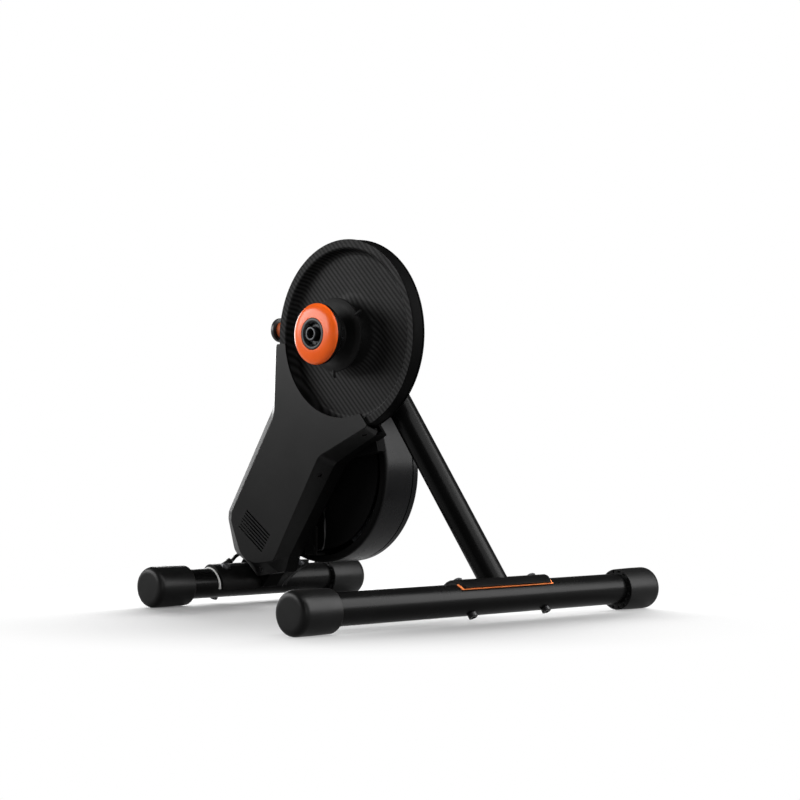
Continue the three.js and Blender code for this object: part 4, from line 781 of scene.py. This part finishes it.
# Orange cap and lockring
# The cap is a glossy moulded dome that covers the front guard; the dark lockring threads into
# the freehub through its middle and shows its wrench splines.
cap_radius, cap_rim, cap_top, cap_hole, dome_steps = 38.8, -49.0, -56.8, 20.3, 24
dome = [(cap_hole + (cap_radius - cap_hole) * sin(t), cap_rim - (cap_rim - cap_top) * cos(t))
        for t in (pi / 2 * k / dome_steps for k in range(dome_steps + 1))]
under = [(cap_radius - 2.4, cap_rim), (cap_hole + 8, cap_rim - 4.6), (cap_hole, cap_rim - 5.4)]
# ABS, moulded in a polished tool: a saturated orange with a clear highlight
orange_abs = finish("polished_orange_abs", ("#e65a17", "#ea601d"), 2.5, 0.006, 30, (0.2, 0.26), gloss=0.2)
dress(turned("orange_dome", dome + under, hub), orange_abs, "orange_plastic", "orange_cap", body="freehub")

ring_bore, ring_front, ring_back = 13.4, -57.0, -51.0
lockring = turned("splined_lockring", eased([
    (ring_bore, -54.4), (16.6, ring_front), (20, ring_front), (20, ring_back), (ring_bore, ring_back)],
    [0.5, 0.6, 1.3, 0.3, 0.3]), hub, facets=120)
# Satin nickel on a turned ring: mid grey, with a soft bright edge
satin_nickel = finish("satin_nickel_ring", ("#202122", "#2a2b2c"), 0.9, 0.008, 9, (0.26, 0.36), 0.6, 0.2)
notched(lockring, rod("wrench_spline", 1.3, -70, -40, origin, facets=16), 12, 13.9, hub, satin_nickel)
dress(lockring, satin_nickel, "dark_aluminium", "lockring", body="freehub")


# Cover
# One injection-moulded shell over the belt, the board and the lower housing. Its flank flares
# to the casting's rim, five screws go in from its edge, and plain slots cool the board.
cover_face, cover_back, cover_wall, cover_edge = -6.0, 20.0, 3.0, 0.8
cover_cutout, disc_room, idler_room = 105.0, 124.2, 17.6
# Each corner of the outline as shares of the axle's height, from the top left down the rear side,
# along the bottom and up the front side: on the face, on the rim, the share of the depth over
# which the wall flares from one to the other, and the corner's radius
cover_corners = [
    ((-0.3474, 0.9743), (-0.3657, 0.9743), 0.19, 0.012), ((-0.358, 0.706), (-0.373, 0.7437), 0.19, 0.12),
    ((-0.5923, 0.3434), (-0.6249, 0.3443), 0.19, 0.03), ((-0.596, 0.3063), (-0.6283, 0.3157), 0.19, 0.05),
    ((-0.5443, 0.1914), (-0.5897, 0.1894), 0.19, 0.12), ((-0.5086, 0.1629), (-0.54, 0.141), 0.6, 0.03),
    ((-0.46, 0.1523), (-0.4971, 0.1014), 0.6, 0.02), ((-0.4, 0.1586), (-0.3743, 0.1209), 0.6, 0.01),
    ((-0.3589, 0.1671), (-0.3529, 0.1771), 1, 0.015), ((-0.118, 0.5571), (-0.106, 0.5309), 1, 0.06),
    ((0.1223, 0.6631), (0.1029, 0.6366), 1, 0.006), ((0.1334, 0.672), (0.1134, 0.6486), 1, 0.004),
    ((0.0974, 0.7146), (0.0974, 0.7146), 1, 0.004), ((-0.1714, 0.9743), (-0.1714, 0.9743), 1, 0.004)]


def corners_at(y):
    """The outline's corners at a depth, in mm"""
    depth = (y - cover_face) / (cover_back - cover_face)
    return [Vector([axle_height * (a + (b - a) * min(depth / flare, 1)) for a, b in zip(face, rim)])
            for face, rim, flare, _ in cover_corners]


def cover_ring(y, wall):
    """The outline at a depth, moved inwards by a wall, with rounded corners, as points of the frame"""
    corners, moved, ring = corners_at(y), [], []
    for i, here in enumerate(corners):
        before, after = here - corners[i - 1], corners[(i + 1) % len(corners)] - here
        before, after = before.orthogonal().normalized(), after.orthogonal().normalized()
        moved.append(here + (before + after) * (wall / (1 + before.dot(after))))
    for i, here in enumerate(moved):
        back, on = moved[i - 1] - here, moved[(i + 1) % len(moved)] - here
        reach = min(cover_corners[i][3] * axle_height / max(tan(back.angle(on) / 2), 0.05),
                    back.length * 0.3, on.length * 0.3)
        ring += [spot(point.x, y, point.y) for point in rounded(here, back, on, reach, 8)]
    return ring


def prism(name, points, y_from, y_to):
    """A straight block along Y over a flat outline in mm, for cutting"""
    return loft(name, [[spot(x, y, z) for x, z in points] for y in (y_from, y_to)])


mid, inner_face = cover_edge * 0.3, cover_face + cover_wall
layers = [(cover_face, cover_edge), (cover_face + mid * 0.3, mid), (cover_face + mid, mid * 0.3),
          (cover_face + cover_edge, 0), (-3.5, 0), (-1.06, 0), (4, 0), (9.6, 0), (15, 0), (cover_back, 0),
          (cover_back, cover_wall), (9.6, cover_wall), (0.4, cover_wall), (inner_face, cover_wall)]
shell = loft("cover_shell", [cover_ring(y, wall) for y, wall in layers])
through, past_rim, circle_steps = cover_face - 3, 26, 192
for x, z, radius, y_from, y_to in ((0, axle_height, cover_cutout, through, 3),
                                   (0, axle_height, disc_room, inner_face, past_rim),
                                   (idler_x, idler_z, idler_room, inner_face, past_rim)):
    circle = [(x + radius * cos(t), z + radius * sin(t))
              for t in (2 * pi * k / circle_steps for k in range(circle_steps))]
    without(shell, prism("room", circle, y_from, y_to))

# The slots are repeated by a small tree: one bar, set out on a line across them
slot_count, slot_pitch, slot_height, slot_length = 7, 4.4, 2.0, 56.0
slot_x, slot_z, slot_fall = -163.0, 96.0, radians(35)
tree, given = new_tree("bars_across_a_line", [
    ("Bar", "Object"), ("Count", "Int"), ("Start", "Vector"), ("Step", "Vector")])
line_of = add(tree, "GeometryNodeMeshLine", {"Count": given["Count"], "Start Location": given["Start"],
                                             "Offset": given["Step"]}, mode="OFFSET")
slots_tree = end_tree(tree, given, copies_on(tree, line_of, given["Bar"]))
along = Vector((cos(slot_fall), -sin(slot_fall)))
across_bar = Vector((sin(slot_fall), cos(slot_fall)))
bar_outline = []
for end in (1, -1):
    middle = along * (end * (slot_length - slot_height) / 2)
    for a in (pi * k / 8 - pi / 2 for k in range(9)):
        bar_outline.append(middle + (along * cos(a) + across_bar * sin(a)) * (end * slot_height / 2))
bar = prism("slot_bar", bar_outline, through, 3)
for vertex in bar.data.vertices:
    vertex.co -= spot(0, 0, 0)
first = Vector((slot_x, slot_z)) - across_bar * (slot_pitch * (slot_count - 1) / 2)
bars = grow(new_piece("slot_bars", [origin]), slots_tree, Bar=bar, Count=slot_count,
            Start=spot(first.x, 0, first.y),
            Step=Vector((across_bar.x, 0, across_bar.y)) * (slot_pitch / 1000))
without(shell, bars)

# Screw holes go in from the edge: the run of the outline, the share along it and the depth in mm
hole_radius, hole_depth, hole_mouth = 3.0, 5.3, -2.4
for run, share, y in ((9, 0.88, 7.0), (8, 0.85, 7.0), (6, 0.3, 1.8), (3, 0.5, 5.7), (1, 0.12, 5.7)):
    start, end = corners_at(y)[run:run + 2]
    at = start + (end - start) * share
    inwards = Vector((start.y - end.y, 0, end.x - start.x))
    without(shell, rod("screw_hole", hole_radius, hole_mouth, hole_depth, spot(at.x, y, at.y), inwards))
shade(shell, 32)

# ABS from a spark-eroded tool: satin charcoal with a fine even grain that softens reflections. Along
# the lower rear corner the flared edge is coloured light grey: a painted highlight.
cover_abs = finish("spark_eroded_abs", None, 1.2, 0.015, 80, (0.3, 0.35), gloss=0.1)
tree, shader, place, slow, _ = parts_of(cover_abs)
split = add(tree, "ShaderNodeSeparateXYZ", {0: place}).outputs
on_flare, low_down, rearward = [
    ramp(split[axis], start, end, smooth=True)
    for axis, start, end in (("Y", -0.0109, -0.0104), ("Z", 0.122, 0.112), ("X", -0.18, -0.2))]
painted_edge_highlight = maths("MULTIPLY", maths("MULTIPLY", on_flare, low_down), rearward)
tone = blend(slow, "#090909", "#0d0d0d")
# Light grey on the lower rear flare: painted highlight
feed(shader, {"Base Color": blend(painted_edge_highlight, tone, "#4a4a4a")})
dress(shell, cover_abs, "cover_plastic", "cover")
cleaned("cover_screws", black_oxide, "fastener_steel", [f"cover_screw_{k}" for k in (1, 2, 3, 4, 5)], 0.2)


# Control board and sensor
# A glass epoxy board on four pillars behind the slots, and a bent sheet bracket whose tongue
# holds the speed sensor at the flywheel's edge.
laminate = finish("green_solder_mask_board", ("#17402b", "#23573c"), 1.0, 0.01, 6, (0.3, 0.42))
cleaned("board_with_parts", laminate, "board_laminate", ["control_board"], 0.2)
cleaned("sensor_plate", saddle_paint, "bracket_paint", ["sensor_bracket"], 0.4)


# Leads
# Two thin wires twist from the board through the frame's web up to the brake, and a short
# power lead comes out of the housing to an inline socket on the rear saddle.
lead_pvc = finish("soft_pvc_lead", ("#0f0f0f", "#171717"), 1.0, 0.01, 10, (0.36, 0.48))


def smooth_path(points, per_span=10):
    """A Catmull-Rom line through points in mm, as points of the frame"""
    points = [spot(*p) for p in points]
    ends = [points[0] * 2 - points[1]] + points + [points[-1] * 2 - points[-2]]
    line = []
    for a, b, c, d in zip(ends, ends[1:], ends[2:], ends[3:]):
        for t in (k / per_span for k in range(per_span)):
            line.append(0.5 * (b * 2 + (c - a) * t + (a * 2 - b * 5 + c * 4 - d) * t * t
                               + (b * 3 - a - c * 3 + d) * t ** 3))
    return line + [points[-1]]


wire_radius, wire_offset, twist_per_step, wire_sides = 0.62, 0.00068, 0.35, 10
coil_path = [(-135.34, 29.9, 82.33), (-129.7, 29.9, 82.33), (-123, 32.3, 84), (-123, 37.8, 84),
             (-120, 45.3, 81), (-105, 47.3, 72), (-90, 50.3, 75), (-89, 52.3, 106), (-95, 57, 122),
             (-98, 63.5, 128), (-98, 70, 128)]
line = smooth_path(coil_path)
for number, phase, nodes in ((1, 0, ["coil_lead"]), (2, pi, [])):
    strand = []
    for i, point in enumerate(line):
        on = (line[min(i + 1, len(line) - 1)] - line[max(i - 1, 0)]).normalized()
        side = on.cross(Vector((0.3, 0.2, 1))).normalized()
        a = phase + i * twist_per_step
        strand.append(point + (side * cos(a) + on.cross(side) * sin(a)) * wire_offset)
    wire = tube(f"coil_wire_{number}", strand, wire_radius, lead_pvc, wire_sides)
    dress(wire, lead_pvc, "lead_rubber", *nodes)

cord_radius, cord_sides, cord_in_socket, socket_length = 2.4, 20, 3.8, 19.0
socket_start, socket_end = Vector((-217, 4, 55)), Vector((-226.5, -8.5, 45))
socket_way = (socket_end - socket_start).normalized()
power_path = [(-198, 27, 68), (-212, 27, 68), (-219, 22, 64), (-219.5, 12, 59.5), socket_start,
              socket_start + socket_way * cord_in_socket]
dress(tube("power_lead_cord", smooth_path(power_path), cord_radius, lead_pvc, cord_sides),
      lead_pvc, "lead_rubber", "power_lead")
socket_profile = [(radius, share * socket_length) for radius, share in (
    (2.7, 0.06), (4.1, 0.1), (5.0, 0.12), (5.0, 0.35), (4.2, 0.38), (4.2, 1), (2.7, 1), (2.7, 0.7))]
dress(turned("inline_socket", eased(socket_profile, 0.4), spot(*socket_start), socket_way, 40),
      nylon, "lead_rubber", "power_jack")


# Carry handle
# A steel bar pressed into the casting, with a ribbed rubber grip, an orange ring and a turned cap.
bar_root, bar_way, on_bar = spot(-36, 43, 361.5), (-1, 0, 0), 8.15
dress(rod("handle_rod", 8, 0.2, 130.5, bar_root, bar_way, 48, (0.3, 0.3)),
      turned_steel, "machined_steel", "handle_bar")
rib_count, rib_pitch, rib_from, rib_radius, furrow = 14, 6.0, 27.5, 15.0, 14.1
grip_profile = [(on_bar, 25.5), (13.6, 25.5)]
for at in (rib_from + k * rib_pitch for k in range(rib_count)):
    grip_profile += [(rib_radius, at), (rib_radius, at + 4), (furrow, at + 4.6), (furrow, at + 5.4)]
grip_profile += [(13.6, 113.8), (on_bar, 113.8)]
# Grip rubber: matt and soft, with a faint dusty grey in patches
grip_rubber = finish("moulded_grip_rubber", ("#151515", "#1f1f1f"), 1.5, 0.03, 15, (0.62, 0.78), gloss=0.3)
dress(turned("ribbed_grip", grip_profile, bar_root, bar_way, 96), grip_rubber, "grip_rubber", "handle_grip")
# The ring: the dome's orange, duller, and darker and browner as painted shade for the shade it sits in
orange_ring_in_painted_shade = finish("orange_ring_painted_shade", ("#9a4722", "#b0542b"), 1.5, 0.02, 15, (0.45, 0.58),
                       gloss=0.15)
ring_profile = eased([(on_bar, 114), (11.6, 114), (11.6, 126.8), (on_bar, 126.8)], 0.6)
dress(turned("orange_ring", ring_profile, bar_root, bar_way, 96),
      orange_ring_in_painted_shade, "orange_plastic", "handle_ring")
# Acetal, turned: black with a waxy sheen that greys where it faces the light
acetal = finish("turned_black_acetal", ("#1a1a1a", "#222222"), 1.2, 0.01, 12, (0.34, 0.44), gloss=0.28)
end_profile = eased([(0, 130.7), (8.1, 130.7), (8.1, 127), (16.2, 127), (16.2, 132.2), (14.4, 134), (0, 134)],
                    [0, 0.2, 0.2, 0.8, 1.2, 1.2, 0])
dress(turned("handle_end_cap", end_profile, bar_root, bar_way, 96), acetal, "grip_rubber", "handle_cap")
